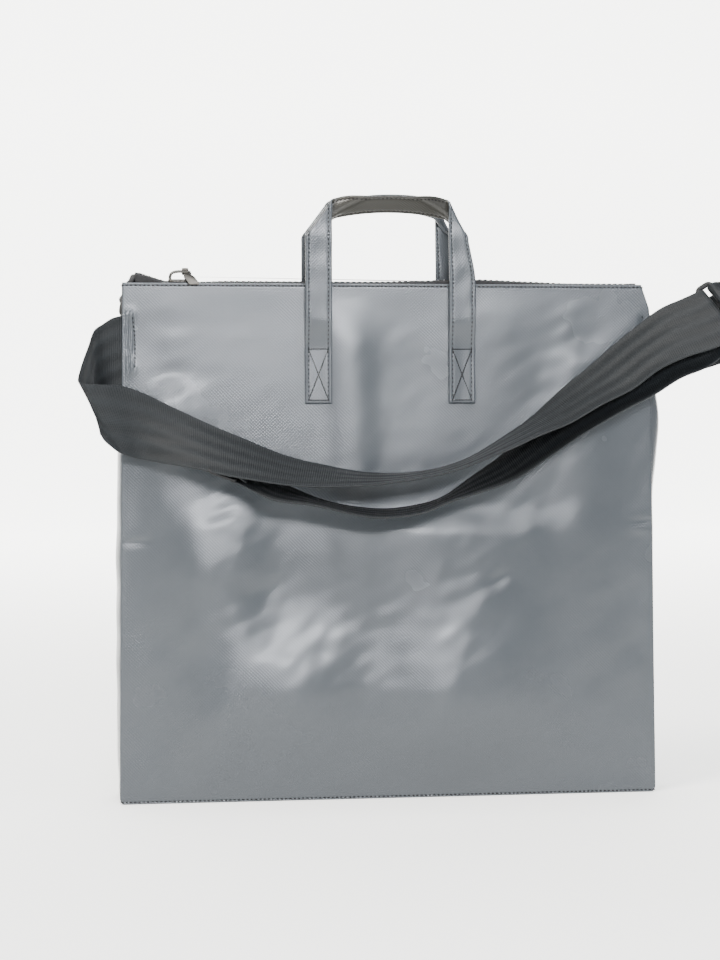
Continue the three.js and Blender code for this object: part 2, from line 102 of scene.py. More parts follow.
class TOTE_PG_handles(bpy.types.PropertyGroup):
    width: bpy.props.FloatProperty(
        name="Width", description="Width of the handle strip",
        default=HANDLE_HIGH[0] - HANDLE_LOW[0], unit="LENGTH")
    thickness: bpy.props.FloatProperty(
        name="Thickness", description="Thickness of the folded strip", default=0.0022, unit="LENGTH")
    stitch_inset: bpy.props.FloatProperty(
        name="Stitch inset", description="Distance of each stitch row from the strip's edge",
        default=0.0027, unit="LENGTH")


class TOTE_PG_strap(bpy.types.PropertyGroup):
    width: bpy.props.FloatProperty(
        name="Width", description="Width of the webbing", default=0.05, unit="LENGTH")
    thickness: bpy.props.FloatProperty(
        name="Thickness", description="Thickness of the webbing", default=0.0014, unit="LENGTH")


class TOTE_PG_zipper(bpy.types.PropertyGroup):
    pitch: bpy.props.FloatProperty(
        name="Tooth pitch", description="Distance between two teeth of one row",
        default=0.0042, unit="LENGTH")
    end_rise: bpy.props.FloatProperty(
        name="End rise", description="How far the open end of the chain stands up",
        default=0.0062, unit="LENGTH")


class TOTE_PG_finish(bpy.types.PropertyGroup):
    tarpaulin: bpy.props.StringProperty(
        name="Tarpaulin", description="sRGB hex of the coated face", default="3d4145")
    # Partly the strip's warmer back face and partly painted shade: kept dark so that the front handle's band,
    # which faces down, looks shaded.
    reverse: bpy.props.StringProperty(
        name="Reverse", description="sRGB hex of the handle strip's inner face", default="262521")
    webbing: bpy.props.StringProperty(
        name="Webbing", description="sRGB hex of the dyed webbing", default="121517")
    thread: bpy.props.StringProperty(
        name="Thread", description="sRGB hex of the sewing thread", default="070708")


# ---- Small tools ----
def to_linear(hex_text):
    """Turns an sRGB hex colour into the linear RGBA that shaders take."""
    values = [int(hex_text[i:i + 2], 16) / 255 for i in (0, 2, 4)]
    linear = [v / 12.92 if v <= 0.04045 else ((v + 0.055) / 1.055) ** 2.4 for v in values]
    return (*linear, 1.0)


def smoothstep(low, high, x):
    t = np.clip((x - low) / (high - low), 0.0, 1.0)
    return t * t * (3.0 - 2.0 * t)


def unit(vector):
    vector = np.asarray(vector, dtype=float)
    return vector / np.linalg.norm(vector, axis=-1, keepdims=True)


def ripple(x, z, wavelength, seed, stretch=1.0, tilt=0.0):
    """A smooth random field of about -1 to 1 whose features are one wavelength across."""
    random = np.random.default_rng(seed)
    c, s = math.cos(tilt), math.sin(tilt)
    along = (x * c + z * s) / stretch
    across = -x * s + z * c
    total = np.zeros(np.broadcast(x, z).shape)
    for _ in range(16):
        angle = random.uniform(0, 2 * math.pi)
        wave = 2 * math.pi / (wavelength * random.uniform(0.75, 1.4))
        total += np.sin(wave * (along * math.cos(angle) + across * math.sin(angle)) + random.uniform(0, 6.3))
    return total / 4.0


def bilinear(grid, row_axis, column_axis, row, column):
    """Points on a grid at places given in the axes' own units."""
    r = np.interp(row, row_axis, np.arange(len(row_axis)))
    c = np.interp(column, column_axis, np.arange(len(column_axis)))
    r0 = np.clip(np.floor(r).astype(int), 0, len(row_axis) - 2)
    c0 = np.clip(np.floor(c).astype(int), 0, len(column_axis) - 2)
    fr = (r - r0)[..., None]
    fc = (c - c0)[..., None]
    top = grid[r0, c0] * (1 - fc) + grid[r0, c0 + 1] * fc
    low = grid[r0 + 1, c0] * (1 - fc) + grid[r0 + 1, c0 + 1] * fc
    return top * (1 - fr) + low * fr


def grid_normals(grid):
    normal = np.cross(np.gradient(grid, axis=1), np.gradient(grid, axis=0))
    return unit(normal)


def spaced(*stretches):
    """A rising list of places from stretches of (start, end, step)."""
    places = [np.linspace(a, b, max(2, int(round((b - a) / step)) + 1)) for a, b, step in stretches]
    return np.unique(np.round(np.concatenate(places), 4))


def rounded_edge(distance, radius):
    """Share of the full thickness at a distance from a rolled edge."""
    share = np.clip(distance / radius, 0.0, 1.0)
    return 0.12 + 0.88 * np.sqrt(1 - (1 - share) ** 2)


def signed_volume(points, faces):
    a, b, c = points[faces[:, 0]], points[faces[:, 1]], points[faces[:, 2]]
    d = points[faces[:, 3]]
    return (np.einsum("ij,ij->i", a, np.cross(b, c)) + np.einsum("ij,ij->i", a, np.cross(c, d))).sum()


def mesh_object(name, points, faces, materials, uv=None, face_material=None, sharp=50):
    """A smooth-shaded mesh from millimetre points and quads, with its faces pointing out."""
    flipped = signed_volume(points, faces) < 0
    if flipped:
        faces = faces[:, ::-1]
    mesh = bpy.data.meshes.new(name)
    mesh.from_pydata((points * MM).tolist(), [], faces.tolist())
    if uv is not None:
        layer = mesh.uv_layers.new(name="flat")
        layer.data.foreach_set("uv", (uv[faces.ravel()] * MM).ravel())
    for material in materials:
        mesh.materials.append(material)
    if face_material is not None:
        mesh.polygons.foreach_set("material_index", face_material)
    mesh.shade_smooth()
    mesh.set_sharp_from_angle(angle=math.radians(sharp))
    mesh.update()
    thing = bpy.data.objects.new(name, mesh)
    bpy.context.scene.collection.objects.link(thing)
    return thing


def sheet_object(name, middle, out, back, flat_u, flat_v, materials, sharp=50):
    """A thin closed sheet round a grid of middle points: out and back are its two half thicknesses."""
    normal = grid_normals(middle)
    outer = middle + normal * out[..., None]
    inner = middle - normal * back[..., None]
    rows, columns = middle.shape[:2]
    ring = np.concatenate([outer, inner[:, ::-1]], axis=1).reshape(-1, 3)
    uv = np.stack([
        np.concatenate([flat_u, flat_u[:, ::-1]], axis=1).ravel(),
        np.concatenate([flat_v, flat_v[:, ::-1]], axis=1).ravel(),
    ], axis=1)
    around = 2 * columns
    r, c = np.meshgrid(np.arange(rows - 1), np.arange(around), indexing="ij")
    a = r * around + c
    b = r * around + (c + 1) % around
    sides = np.stack([a, b, b + around, a + around], axis=-1).reshape(-1, 4)
    is_back = (c.ravel() >= columns) & (c.ravel() < around - 1)
    k = np.arange(columns - 1)
    first = np.stack([k + 1, k, around - 1 - k, around - 2 - k], axis=1)
    last = (rows - 1) * around + np.stack([k, k + 1, around - 2 - k, around - 1 - k], axis=1)
    faces = np.concatenate([sides, first, last])
    slots = np.concatenate([is_back.astype(int), np.zeros(2 * len(k), dtype=int)])
    if len(materials) == 1:
        slots[:] = 0
    thing = mesh_object(name, ring, faces, materials, uv, slots, sharp)
    return thing, outer, inner


def swept_wire(name, path, first_axis, half_first, half_second, material, closed=False, sides=14):
    """A rounded bar along a path; first_axis stays in the section, which is elliptical."""
    path = np.asarray(path, dtype=float)
    if closed:
        ahead = unit(np.roll(path, -1, axis=0) - np.roll(path, 1, axis=0))
    else:
        ahead = unit(np.gradient(path, axis=0))
    first = unit(np.broadcast_to(np.asarray(first_axis, dtype=float), path.shape))
    second = unit(np.cross(ahead, first))
    angle = np.linspace(0, 2 * math.pi, sides, endpoint=False)
    ring = (path[:, None] + first[:, None] * (half_first * np.cos(angle))[None, :, None]
            + second[:, None] * (half_second * np.sin(angle))[None, :, None])
    count = len(path)
    rows = count if closed else count - 1
    r, c = np.meshgrid(np.arange(rows), np.arange(sides), indexing="ij")
    a = r * sides + c
    b = r * sides + (c + 1) % sides
    up = ((r + 1) % count) * sides
    faces = np.stack([a, b, up + (c + 1) % sides, up + c], axis=-1).reshape(-1, 4)
    points = ring.reshape(-1, 3)
    if not closed:
        half = sides // 2
        k = np.arange(half - 1)
        start = np.stack([(sides - k) % sides, sides - 1 - k, k + 1, k], axis=1)
        faces = np.concatenate([faces, start, (count - 1) * sides + start[:, ::-1]])
    return mesh_object(name, points, faces, [material], sharp=60)


def prism_object(name, outline, thickness, place, material, bevel=0.3, segments=2):
    """A bevelled plate: outline in its own plane, place a 4x4 matrix in millimetres."""
    shape = bmesh.new()
    low = [shape.verts.new((x, y, -thickness / 2)) for x, y in outline]
    face = shape.faces.new(low)
    moved = bmesh.ops.extrude_face_region(shape, geom=[face])
    raised = [v for v in moved["geom"] if isinstance(v, bmesh.types.BMVert)]
    bmesh.ops.translate(shape, verts=raised, vec=(0, 0, thickness))
    bmesh.ops.recalc_face_normals(shape, faces=shape.faces)
    bmesh.ops.bevel(
        shape, geom=list(shape.edges), offset=bevel, segments=segments, affect="EDGES",
        profile=0.5, clamp_overlap=True)
    bmesh.ops.transform(shape, matrix=Matrix.Scale(MM, 4) @ place, verts=shape.verts)
    bmesh.ops.recalc_face_normals(shape, faces=shape.faces)
    mesh = bpy.data.meshes.new(name)
    shape.to_mesh(mesh)
    shape.free()
    mesh.materials.append(material)
    mesh.shade_smooth()
    mesh.set_sharp_from_angle(angle=math.radians(40))
    thing = bpy.data.objects.new(name, mesh)
    bpy.context.scene.collection.objects.link(thing)
    return thing


def joined(name, things):
    """One mesh object from several, with their materials kept."""
    merged = bmesh.new()
    materials = []
    for thing in things:
        offset = len(materials)
        materials.extend(thing.data.materials)
        start = len(merged.faces)
        merged.from_mesh(thing.data)
        merged.faces.ensure_lookup_table()
        for face in merged.faces[start:]:
            face.material_index += offset
    mesh = bpy.data.meshes.new(name)
    merged.to_mesh(mesh)
    merged.free()
    kept = []
    index = []
    for material in materials:
        if material not in kept:
            kept.append(material)
        index.append(kept.index(material))
    for material in kept:
        mesh.materials.append(material)
    for polygon in mesh.polygons:
        polygon.material_index = index[polygon.material_index]
    mesh.set_sharp_from_angle(angle=math.radians(45))
    for thing in things:
        data = thing.data
        bpy.data.objects.remove(thing)
        bpy.data.meshes.remove(data)
    thing = bpy.data.objects.new(name, mesh)
    bpy.context.scene.collection.objects.link(thing)
    return thing


def finish_piece(piece, body, slot, *nodes):
    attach(piece, body)
    if nodes:
        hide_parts(*nodes)


# ---- Materials ----
def add_node(tree, kind, settings=None, inputs=None):
    """Adds a node, sets its properties, and fills or links its inputs."""
    node = tree.nodes.new(kind)
    for name, value in (settings or {}).items():
        setattr(node, name, value)
    for key, value in (inputs or {}).items():
        if isinstance(value, bpy.types.NodeSocket):
            tree.links.new(value, node.inputs[key])
        else:
            node.inputs[key].default_value = value
    return node


def new_material(name):
    material = bpy.data.materials.get(name)
    if material:
        return material, None
    material = bpy.data.materials.new(name)
    material.use_nodes = True
    material.node_tree.nodes.clear()
    return material, material.node_tree


def surface_output(tree, shader):
    add_node(tree, "ShaderNodeOutputMaterial", inputs={"Surface": shader.outputs[0]})


def woven_waves(tree, flat, pitch_u, pitch_v, shape="PRODUCT"):
    """Height of a plain weave in the sheet's own flat coordinates, from -1 to 1."""
    parts = add_node(tree, "ShaderNodeSeparateXYZ", inputs={0: flat})
    waves = []
    for output, pitch in ((0, pitch_u), (1, pitch_v)):
        turn = add_node(tree, "ShaderNodeMath", {"operation": "MULTIPLY"},
                        {0: parts.outputs[output], 1: 2 * math.pi / pitch})
        waves.append(add_node(tree, "ShaderNodeMath", {"operation": "SINE"}, {0: turn.outputs[0]}))
    operation = "MULTIPLY" if shape == "PRODUCT" else "ADD"
    return add_node(tree, "ShaderNodeMath", {"operation": operation},
                    {0: waves[0].outputs[0], 1: waves[1].outputs[0]})


def tarpaulin_material(name, base_hex, contrast=1.0, roughness=0.24):
    """PVC-coated polyester tarpaulin, calendered: a soft gloss skin over a woven scrim, whose threads
    show through as fine diagonal bumps where light glances off, with handling creases."""
    material, tree = new_material(name)
    if tree is None:
        return material
    flat = add_node(tree, "ShaderNodeUVMap", {"uv_map": "flat"})
    drift = add_node(tree, "ShaderNodeTexNoise", inputs={
        "Vector": flat.outputs[0], "Scale": 14.0, "Detail": 3.0, "Roughness": 0.5})
    shifted = add_node(tree, "ShaderNodeVectorMath", {"operation": "MULTIPLY_ADD"}, {
        0: drift.outputs["Color"], 1: (0.0035, 0.0035, 0.0), 2: flat.outputs[0]})
    # The scrim's threads stand 1.2 mm apart, so one weave wave is 2.4 mm.
    scrim = woven_waves(tree, shifted.outputs[0], 0.0024, 0.0024)
    mottle = add_node(tree, "ShaderNodeTexNoise", inputs={
        "Vector": flat.outputs[0], "Scale": 9.0, "Detail": 4.0, "Roughness": 0.55})
    shade = add_node(tree, "ShaderNodeMapRange", inputs={
        0: mottle.outputs["Fac"], 1: 0.3, 2: 0.7, 3: 1.0 - 0.045 * contrast, 4: 1.0 + 0.035 * contrast})
    thread_shade = add_node(tree, "ShaderNodeMath", {"operation": "MULTIPLY_ADD"}, {
        0: scrim.outputs[0], 1: 0.022 * contrast, 2: shade.outputs[0]})
    colour = add_node(tree, "ShaderNodeVectorMath", {"operation": "SCALE"}, {
        0: to_linear(base_hex)[:3], "Scale": thread_shade.outputs[0]})
    # Creases: thin ridged lines some 20 mm apart that fade in and out, then the coating's fine pebble.
    fold = add_node(tree, "ShaderNodeTexNoise", inputs={
        "Vector": shifted.outputs[0], "Scale": 32.0, "Detail": 3.0, "Roughness": 0.6, "Distortion": 0.6})
    off_line = add_node(tree, "ShaderNodeMath", {"operation": "SUBTRACT"}, {0: fold.outputs["Fac"], 1: 0.5})
    away = add_node(tree, "ShaderNodeMath", {"operation": "ABSOLUTE"}, {0: off_line.outputs[0]})
    crease = add_node(tree, "ShaderNodeMapRange", {"interpolation_type": "SMOOTHSTEP"}, {
        0: away.outputs[0], 1: 0.0, 2: 0.05, 3: 1.0, 4: 0.0})
    patches = add_node(tree, "ShaderNodeMapRange", inputs={
        0: drift.outputs["Fac"], 1: 0.42, 2: 0.62, 3: 0.1, 4: 1.0})
    creased = add_node(tree, "ShaderNodeMath", {"operation": "MULTIPLY"}, {
        0: crease.outputs[0], 1: patches.outputs[0]})
    pebble = add_node(tree, "ShaderNodeTexNoise", inputs={
        "Vector": flat.outputs[0], "Scale": 420.0, "Detail": 2.0, "Roughness": 0.6})
    crease_bump = add_node(tree, "ShaderNodeBump", inputs={
        "Strength": 1.0, "Distance": 0.00004, "Height": creased.outputs[0]})
    scrim_bump = add_node(tree, "ShaderNodeBump", inputs={
        "Strength": 1.0, "Distance": 0.00005, "Height": scrim.outputs[0],
        "Normal": crease_bump.outputs[0]})
    pebble_bump = add_node(tree, "ShaderNodeBump", inputs={
        "Strength": 1.0, "Distance": 0.000015, "Height": pebble.outputs["Fac"],
        "Normal": scrim_bump.outputs[0]})
    worn = add_node(tree, "ShaderNodeMapRange", inputs={
        0: mottle.outputs["Fac"], 1: 0.3, 2: 0.7, 3: roughness - 0.05, 4: roughness + 0.06})
    shader = add_node(tree, "ShaderNodeBsdfPrincipled", inputs={
        "Base Color": colour.outputs[0], "Roughness": worn.outputs[0], "IOR": 1.53,
        "Specular IOR Level": 0.34, "Coat Weight": 0.12, "Coat Roughness": 0.16, "Coat IOR": 1.5,
        "Normal": pebble_bump.outputs[0]})
    surface_output(tree, shader)
    return material


def webbing_material(name, base_hex):
    """Polyester seat-belt webbing, woven and heat-set: fine weft ribs across it, four smooth panels
    along it, and a dull satin sheen from the filament yarn."""
    material, tree = new_material(name)
    if tree is None:
        return material
    flat = add_node(tree, "ShaderNodeUVMap", {"uv_map": "flat"})
    parts = add_node(tree, "ShaderNodeSeparateXYZ", inputs={0: flat.outputs[0]})
    # Weft ribs are 1 mm apart in the cloth, and are drawn at 1.6 mm so that they show.
    turn = add_node(tree, "ShaderNodeMath", {"operation": "MULTIPLY"}, {
        0: parts.outputs[1], 1: 2 * math.pi / 0.0016})
    ribs = add_node(tree, "ShaderNodeMath", {"operation": "SINE"}, {0: turn.outputs[0]})
    # Warp yarns side by side every 0.8 mm, broken up by the weave's float.
    turn_warp = add_node(tree, "ShaderNodeMath", {"operation": "MULTIPLY"}, {
        0: parts.outputs[0], 1: 2 * math.pi / 0.0012})
    warp = add_node(tree, "ShaderNodeMath", {"operation": "SINE"}, {0: turn_warp.outputs[0]})
    weave = add_node(tree, "ShaderNodeMath", {"operation": "MULTIPLY_ADD"}, {
        0: warp.outputs[0], 1: 0.35, 2: ribs.outputs[0]})
    # The panels: the reed groups the warp in bands 12.5 mm wide, and each band's raised middle is coloured
    # lighter as a painted highlight.
    turn_band = add_node(tree, "ShaderNodeMath", {"operation": "MULTIPLY"}, {
        0: parts.outputs[0], 1: 2 * math.pi / 0.0125})
    bands = add_node(tree, "ShaderNodeMath", {"operation": "COSINE"}, {0: turn_band.outputs[0]})
    fuzz = add_node(tree, "ShaderNodeTexNoise", inputs={
        "Vector": flat.outputs[0], "Scale": 60.0, "Detail": 6.0, "Roughness": 0.7})
    shade = add_node(tree, "ShaderNodeMapRange", inputs={
        0: fuzz.outputs["Fac"], 1: 0.25, 2: 0.75, 3: 0.86, 4: 1.12})
    # Painted highlight: up to 17% lighter along each panel's raised middle, in step with its bump; the fuzz
    # is the yarn's random tone.
    band_highlight_and_fuzz = add_node(tree, "ShaderNodeMath", {"operation": "MULTIPLY_ADD"}, {
        0: bands.outputs[0], 1: 0.17, 2: shade.outputs[0]})
    ribbed = add_node(tree, "ShaderNodeMath", {"operation": "MULTIPLY_ADD"}, {
        0: weave.outputs[0], 1: 0.07, 2: band_highlight_and_fuzz.outputs[0]})
    colour = add_node(tree, "ShaderNodeVectorMath", {"operation": "SCALE"}, {
        0: to_linear(base_hex)[:3], "Scale": ribbed.outputs[0]})
    band_bump = add_node(tree, "ShaderNodeBump", inputs={
        "Strength": 1.0, "Distance": 0.00035, "Height": bands.outputs[0]})
    weave_bump = add_node(tree, "ShaderNodeBump", inputs={
        "Strength": 1.0, "Distance": 0.00007, "Height": weave.outputs[0],
        "Normal": band_bump.outputs[0]})
    shader = add_node(tree, "ShaderNodeBsdfPrincipled", inputs={
        "Base Color": colour.outputs[0], "Roughness": 0.55, "IOR": 1.5,
        "Specular IOR Level": 0.22, "Sheen Weight": 0.02, "Sheen Roughness": 0.45,
        "Normal": weave_bump.outputs[0]})
    surface_output(tree, shader)
    return material


def zipper_tape_material():
    """Woven polyester zipper tape, dyed black: a fine herringbone rib that stays matte."""
    material, tree = new_material("woven_polyester_zipper_tape")
    if tree is None:
        return material
    flat = add_node(tree, "ShaderNodeTexCoord")
    weave = woven_waves(tree, flat.outputs["Object"], 0.0011, 0.0011, "SUM")
    lint = add_node(tree, "ShaderNodeTexNoise", inputs={
        "Vector": flat.outputs["Object"], "Scale": 300.0, "Detail": 4.0})
    shade = add_node(tree, "ShaderNodeMapRange", inputs={
        0: lint.outputs["Fac"], 1: 0.3, 2: 0.7, 3: 0.7, 4: 1.35})
    colour = add_node(tree, "ShaderNodeVectorMath", {"operation": "SCALE"}, {
        0: to_linear("101012")[:3], "Scale": shade.outputs[0]})
    bump = add_node(tree, "ShaderNodeBump", inputs={
        "Strength": 1.0, "Distance": 0.00008, "Height": weave.outputs[0]})
    shader = add_node(tree, "ShaderNodeBsdfPrincipled", inputs={
        "Base Color": colour.outputs[0], "Roughness": 0.85, "Sheen Weight": 0.05,
        "Normal": bump.outputs[0]})
    surface_output(tree, shader)
    return material


def moulded_material(name, base_hex, roughness, grain):
    """Injection-moulded acetal: a waxy black plastic with the mould's fine spark-eroded grain."""
    material, tree = new_material(name)
    if tree is None:
        return material
    place = add_node(tree, "ShaderNodeTexCoord")
    speckle = add_node(tree, "ShaderNodeTexNoise", inputs={
        "Vector": place.outputs["Object"], "Scale": 1.0 / grain, "Detail": 3.0, "Roughness": 0.6})
    gloss = add_node(tree, "ShaderNodeMapRange", inputs={
        0: speckle.outputs["Fac"], 1: 0.3, 2: 0.7, 3: roughness - 0.06, 4: roughness + 0.1})
    shade = add_node(tree, "ShaderNodeMapRange", inputs={
        0: speckle.outputs["Fac"], 1: 0.3, 2: 0.7, 3: 0.85, 4: 1.15})
    colour = add_node(tree, "ShaderNodeVectorMath", {"operation": "SCALE"}, {
        0: to_linear(base_hex)[:3], "Scale": shade.outputs[0]})
    bump = add_node(tree, "ShaderNodeBump", inputs={
        "Strength": 0.6, "Distance": 0.00005, "Height": speckle.outputs["Fac"]})
    shader = add_node(tree, "ShaderNodeBsdfPrincipled", inputs={
        "Base Color": colour.outputs[0], "Roughness": gloss.outputs[0], "IOR": 1.48,
        "Specular IOR Level": 0.3, "Normal": bump.outputs[0]})
    surface_output(tree, shader)
    return material


def gunmetal_material():
    """Gunmetal-plated zinc die casting, tumbled: a warm grey metal, soft at the edges, with hairline
    rub marks that break the highlight."""
    material, tree = new_material("gunmetal_plated_zinc")
    if tree is None:
        return material
    place = add_node(tree, "ShaderNodeTexCoord")
    stretched = add_node(tree, "ShaderNodeMapping", inputs={
        "Vector": place.outputs["Object"], "Scale": (400.0, 2600.0, 2600.0)})
    rub = add_node(tree, "ShaderNodeTexNoise", inputs={
        "Vector": stretched.outputs[0], "Scale": 1.0, "Detail": 3.0})
    gloss = add_node(tree, "ShaderNodeMapRange", inputs={
        0: rub.outputs["Fac"], 1: 0.3, 2: 0.7, 3: 0.24, 4: 0.4})
    bump = add_node(tree, "ShaderNodeBump", inputs={
        "Strength": 0.5, "Distance": 0.00002, "Height": rub.outputs["Fac"]})
    shader = add_node(tree, "ShaderNodeBsdfPrincipled", inputs={
        "Base Color": to_linear("4c4a47"), "Metallic": 1.0, "Roughness": gloss.outputs[0],
        "Normal": bump.outputs[0]})
    surface_output(tree, shader)
    return material


def thread_material(base_hex):
    """Bonded nylon sewing thread: black plies laid on a slant, with a dull waxed surface."""
    material, tree = new_material("bonded_nylon_thread")
    if tree is None:
        return material
    place = add_node(tree, "ShaderNodeTexCoord")
    plies = add_node(tree, "ShaderNodeTexWave", {"bands_direction": "DIAGONAL"}, {
        "Vector": place.outputs["Object"], "Scale": 900.0, "Distortion": 0.5})
    shade = add_node(tree, "ShaderNodeMapRange", inputs={
        0: plies.outputs["Fac"], 1: 0.0, 2: 1.0, 3: 0.7, 4: 1.3})
    colour = add_node(tree, "ShaderNodeVectorMath", {"operation": "SCALE"}, {
        0: to_linear(base_hex)[:3], "Scale": shade.outputs[0]})
    bump = add_node(tree, "ShaderNodeBump", inputs={
        "Strength": 0.6, "Distance": 0.00004, "Height": plies.outputs["Fac"]})
    shader = add_node(tree, "ShaderNodeBsdfPrincipled", inputs={
        "Base Color": colour.outputs[0], "Roughness": 0.55, "Specular IOR Level": 0.2,
        "Normal": bump.outputs[0]})
    surface_output(tree, shader)
    return material


def studio_material(name, base_hex):
    """A pale matte board with painted light: it glows a little on the floor and more up the wall, standing in
    for the light on the wall, so that shadows stay soft.
    """
    material, tree = new_material(name)
    if tree is None:
        return material
    place = add_node(tree, "ShaderNodeTexCoord")
    stipple = add_node(tree, "ShaderNodeTexNoise", inputs={
        "Vector": place.outputs["Object"], "Scale": 3.0, "Detail": 3.0})
    shade = add_node(tree, "ShaderNodeMapRange", inputs={
        0: stipple.outputs["Fac"], 1: 0.3, 2: 0.7, 3: 0.985, 4: 1.0})
    colour = add_node(tree, "ShaderNodeVectorMath", {"operation": "SCALE"}, {
        0: to_linear(base_hex)[:3], "Scale": shade.outputs[0]})
    axes = add_node(tree, "ShaderNodeSeparateXYZ", inputs={0: place.outputs["Object"]})
    # Painted light: emission that rises from 1 near the bag to 3.9 up the wall.
    painted_wall_glow = add_node(tree, "ShaderNodeMapRange", {"interpolation_type": "SMOOTHSTEP"}, {
        0: axes.outputs[1], 1: 0.1, 2: 2.4, 3: 1.0, 4: 3.9})
    shader = add_node(tree, "ShaderNodeBsdfPrincipled", inputs={
        "Base Color": colour.outputs[0], "Roughness": 0.8, "Specular IOR Level": 0.2,
        "Emission Color": to_linear("fffffc"), "Emission Strength": painted_wall_glow.outputs[0]})
    surface_output(tree, shader)
    return material


# ---- Geometry Nodes: stitches and teeth ----
def stitch_tree():
    """Rows of stitches along edge chains: inputs are the pitch, the stitch's length, the thread's
    thickness and its material."""
    tree = bpy.data.node_groups.get("stitch_rows")
    if tree:
        return tree
    tree = bpy.data.node_groups.new("stitch_rows", "GeometryNodeTree")
    face = tree.interface
    face.new_socket("Geometry", in_out="INPUT", socket_type="NodeSocketGeometry")
    for name in ("Pitch", "Stitch Length", "Thread"):
        face.new_socket(name, in_out="INPUT", socket_type="NodeSocketFloat")
    face.new_socket("Material", in_out="INPUT", socket_type="NodeSocketMaterial")
    face.new_socket("Geometry", in_out="OUTPUT", socket_type="NodeSocketGeometry")
    given = add_node(tree, "NodeGroupInput")
    curve = add_node(tree, "GeometryNodeMeshToCurve", inputs={0: given.outputs["Geometry"]})
    even = add_node(tree, "GeometryNodeResampleCurve", inputs={"Curve": curve.outputs[0]})
    even.mode = "LENGTH"
    tree.links.new(given.outputs["Pitch"], even.inputs["Length"])
    tangent = add_node(tree, "GeometryNodeInputTangent")
    turn = add_node(tree, "FunctionNodeAlignRotationToVector", {"axis": "X"}, {
        "Vector": tangent.outputs[0]})
    bead = add_node(tree, "GeometryNodeMeshUVSphere", inputs={
        "Segments": 6, "Rings": 5, "Radius": 0.5})
    upright = add_node(tree, "GeometryNodeTransform", inputs={
        "Geometry": bead.outputs["Mesh"], "Rotation": (0.0, math.pi / 2, 0.0)})
    size = add_node(tree, "ShaderNodeCombineXYZ", inputs={
        0: given.outputs["Stitch Length"], 1: given.outputs["Thread"], 2: given.outputs["Thread"]})
    stitch = add_node(tree, "GeometryNodeTransform", inputs={
        "Geometry": upright.outputs[0], "Scale": size.outputs[0]})
    placed = add_node(tree, "GeometryNodeInstanceOnPoints", inputs={
        "Points": even.outputs[0], "Instance": stitch.outputs[0], "Rotation": turn.outputs[0]})
    real = add_node(tree, "GeometryNodeRealizeInstances", inputs={0: placed.outputs[0]})
    finished = add_node(tree, "GeometryNodeSetMaterial", inputs={
        "Geometry": real.outputs[0], "Material": given.outputs["Material"]})
    add_node(tree, "NodeGroupOutput", inputs={0: finished.outputs[0]})
    return tree


def tooth_tree():
    """Copies of one tooth at even steps along an edge chain, turned to follow it."""
    tree = bpy.data.node_groups.get("zipper_tooth_row")
    if tree:
        return tree
    tree = bpy.data.node_groups.new("zipper_tooth_row", "GeometryNodeTree")
    face = tree.interface
    face.new_socket("Geometry", in_out="INPUT", socket_type="NodeSocketGeometry")
    face.new_socket("Pitch", in_out="INPUT", socket_type="NodeSocketFloat")
    face.new_socket("Tooth", in_out="INPUT", socket_type="NodeSocketObject")
    face.new_socket("Material", in_out="INPUT", socket_type="NodeSocketMaterial")
    face.new_socket("Geometry", in_out="OUTPUT", socket_type="NodeSocketGeometry")
    given = add_node(tree, "NodeGroupInput")
    curve = add_node(tree, "GeometryNodeMeshToCurve", inputs={0: given.outputs["Geometry"]})
    even = add_node(tree, "GeometryNodeResampleCurve", inputs={"Curve": curve.outputs[0]})
    even.mode = "LENGTH"
    tree.links.new(given.outputs["Pitch"], even.inputs["Length"])
    tangent = add_node(tree, "GeometryNodeInputTangent")
    turn = add_node(tree, "FunctionNodeAlignRotationToVector", {"axis": "X"}, {
        "Vector": tangent.outputs[0]})
    tooth = add_node(tree, "GeometryNodeObjectInfo", inputs={"Object": given.outputs["Tooth"]})
    placed = add_node(tree, "GeometryNodeInstanceOnPoints", inputs={
        "Points": even.outputs[0], "Instance": tooth.outputs["Geometry"], "Rotation": turn.outputs[0]})
    real = add_node(tree, "GeometryNodeRealizeInstances", inputs={0: placed.outputs[0]})
    finished = add_node(tree, "GeometryNodeSetMaterial", inputs={
        "Geometry": real.outputs[0], "Material": given.outputs["Material"]})
    add_node(tree, "NodeGroupOutput", inputs={0: finished.outputs[0]})
    return tree


def along_chains(name, chains, tree, values):
    """Runs a node tree over edge chains and returns the result as a plain mesh object."""
    points = []
    edges = []
    for chain in chains:
        start = len(points)
        points.extend((np.asarray(chain) * MM).tolist())
        edges.extend((start + i, start + i + 1) for i in range(len(chain) - 1))
    mesh = bpy.data.meshes.new(name + "_path")
    mesh.from_pydata(points, edges, [])
    guide = bpy.data.objects.new(name + "_path", mesh)
    bpy.context.scene.collection.objects.link(guide)
    modifier = guide.modifiers.new("rows", "NODES")
    modifier.node_group = tree
    for item in tree.interface.items_tree:
        if item.in_out == "INPUT" and item.name in values:
            modifier[item.identifier] = values[item.name]
    guide.update_tag()
    bpy.context.view_layer.update()
    depsgraph = bpy.context.evaluated_depsgraph_get()
    made = bpy.data.meshes.new_from_object(guide.evaluated_get(depsgraph), depsgraph=depsgraph)
    made.name = name
    guide.modifiers.remove(modifier)
    bpy.data.objects.remove(guide)
    bpy.data.meshes.remove(mesh)
    if not len(made.polygons):
        raise RuntimeError(name + " came out empty")
    made.shade_smooth()
    thing = bpy.data.objects.new(name, made)
    bpy.context.scene.collection.objects.link(thing)
    return thing


def stitch_object(name, chains, settings, finish, pitch=None):
    return along_chains(name, chains, stitch_tree(), {
        "Pitch": pitch or settings.pitch, "Stitch Length": settings.length,
        "Thread": settings.thread, "Material": thread_material(finish.thread)})


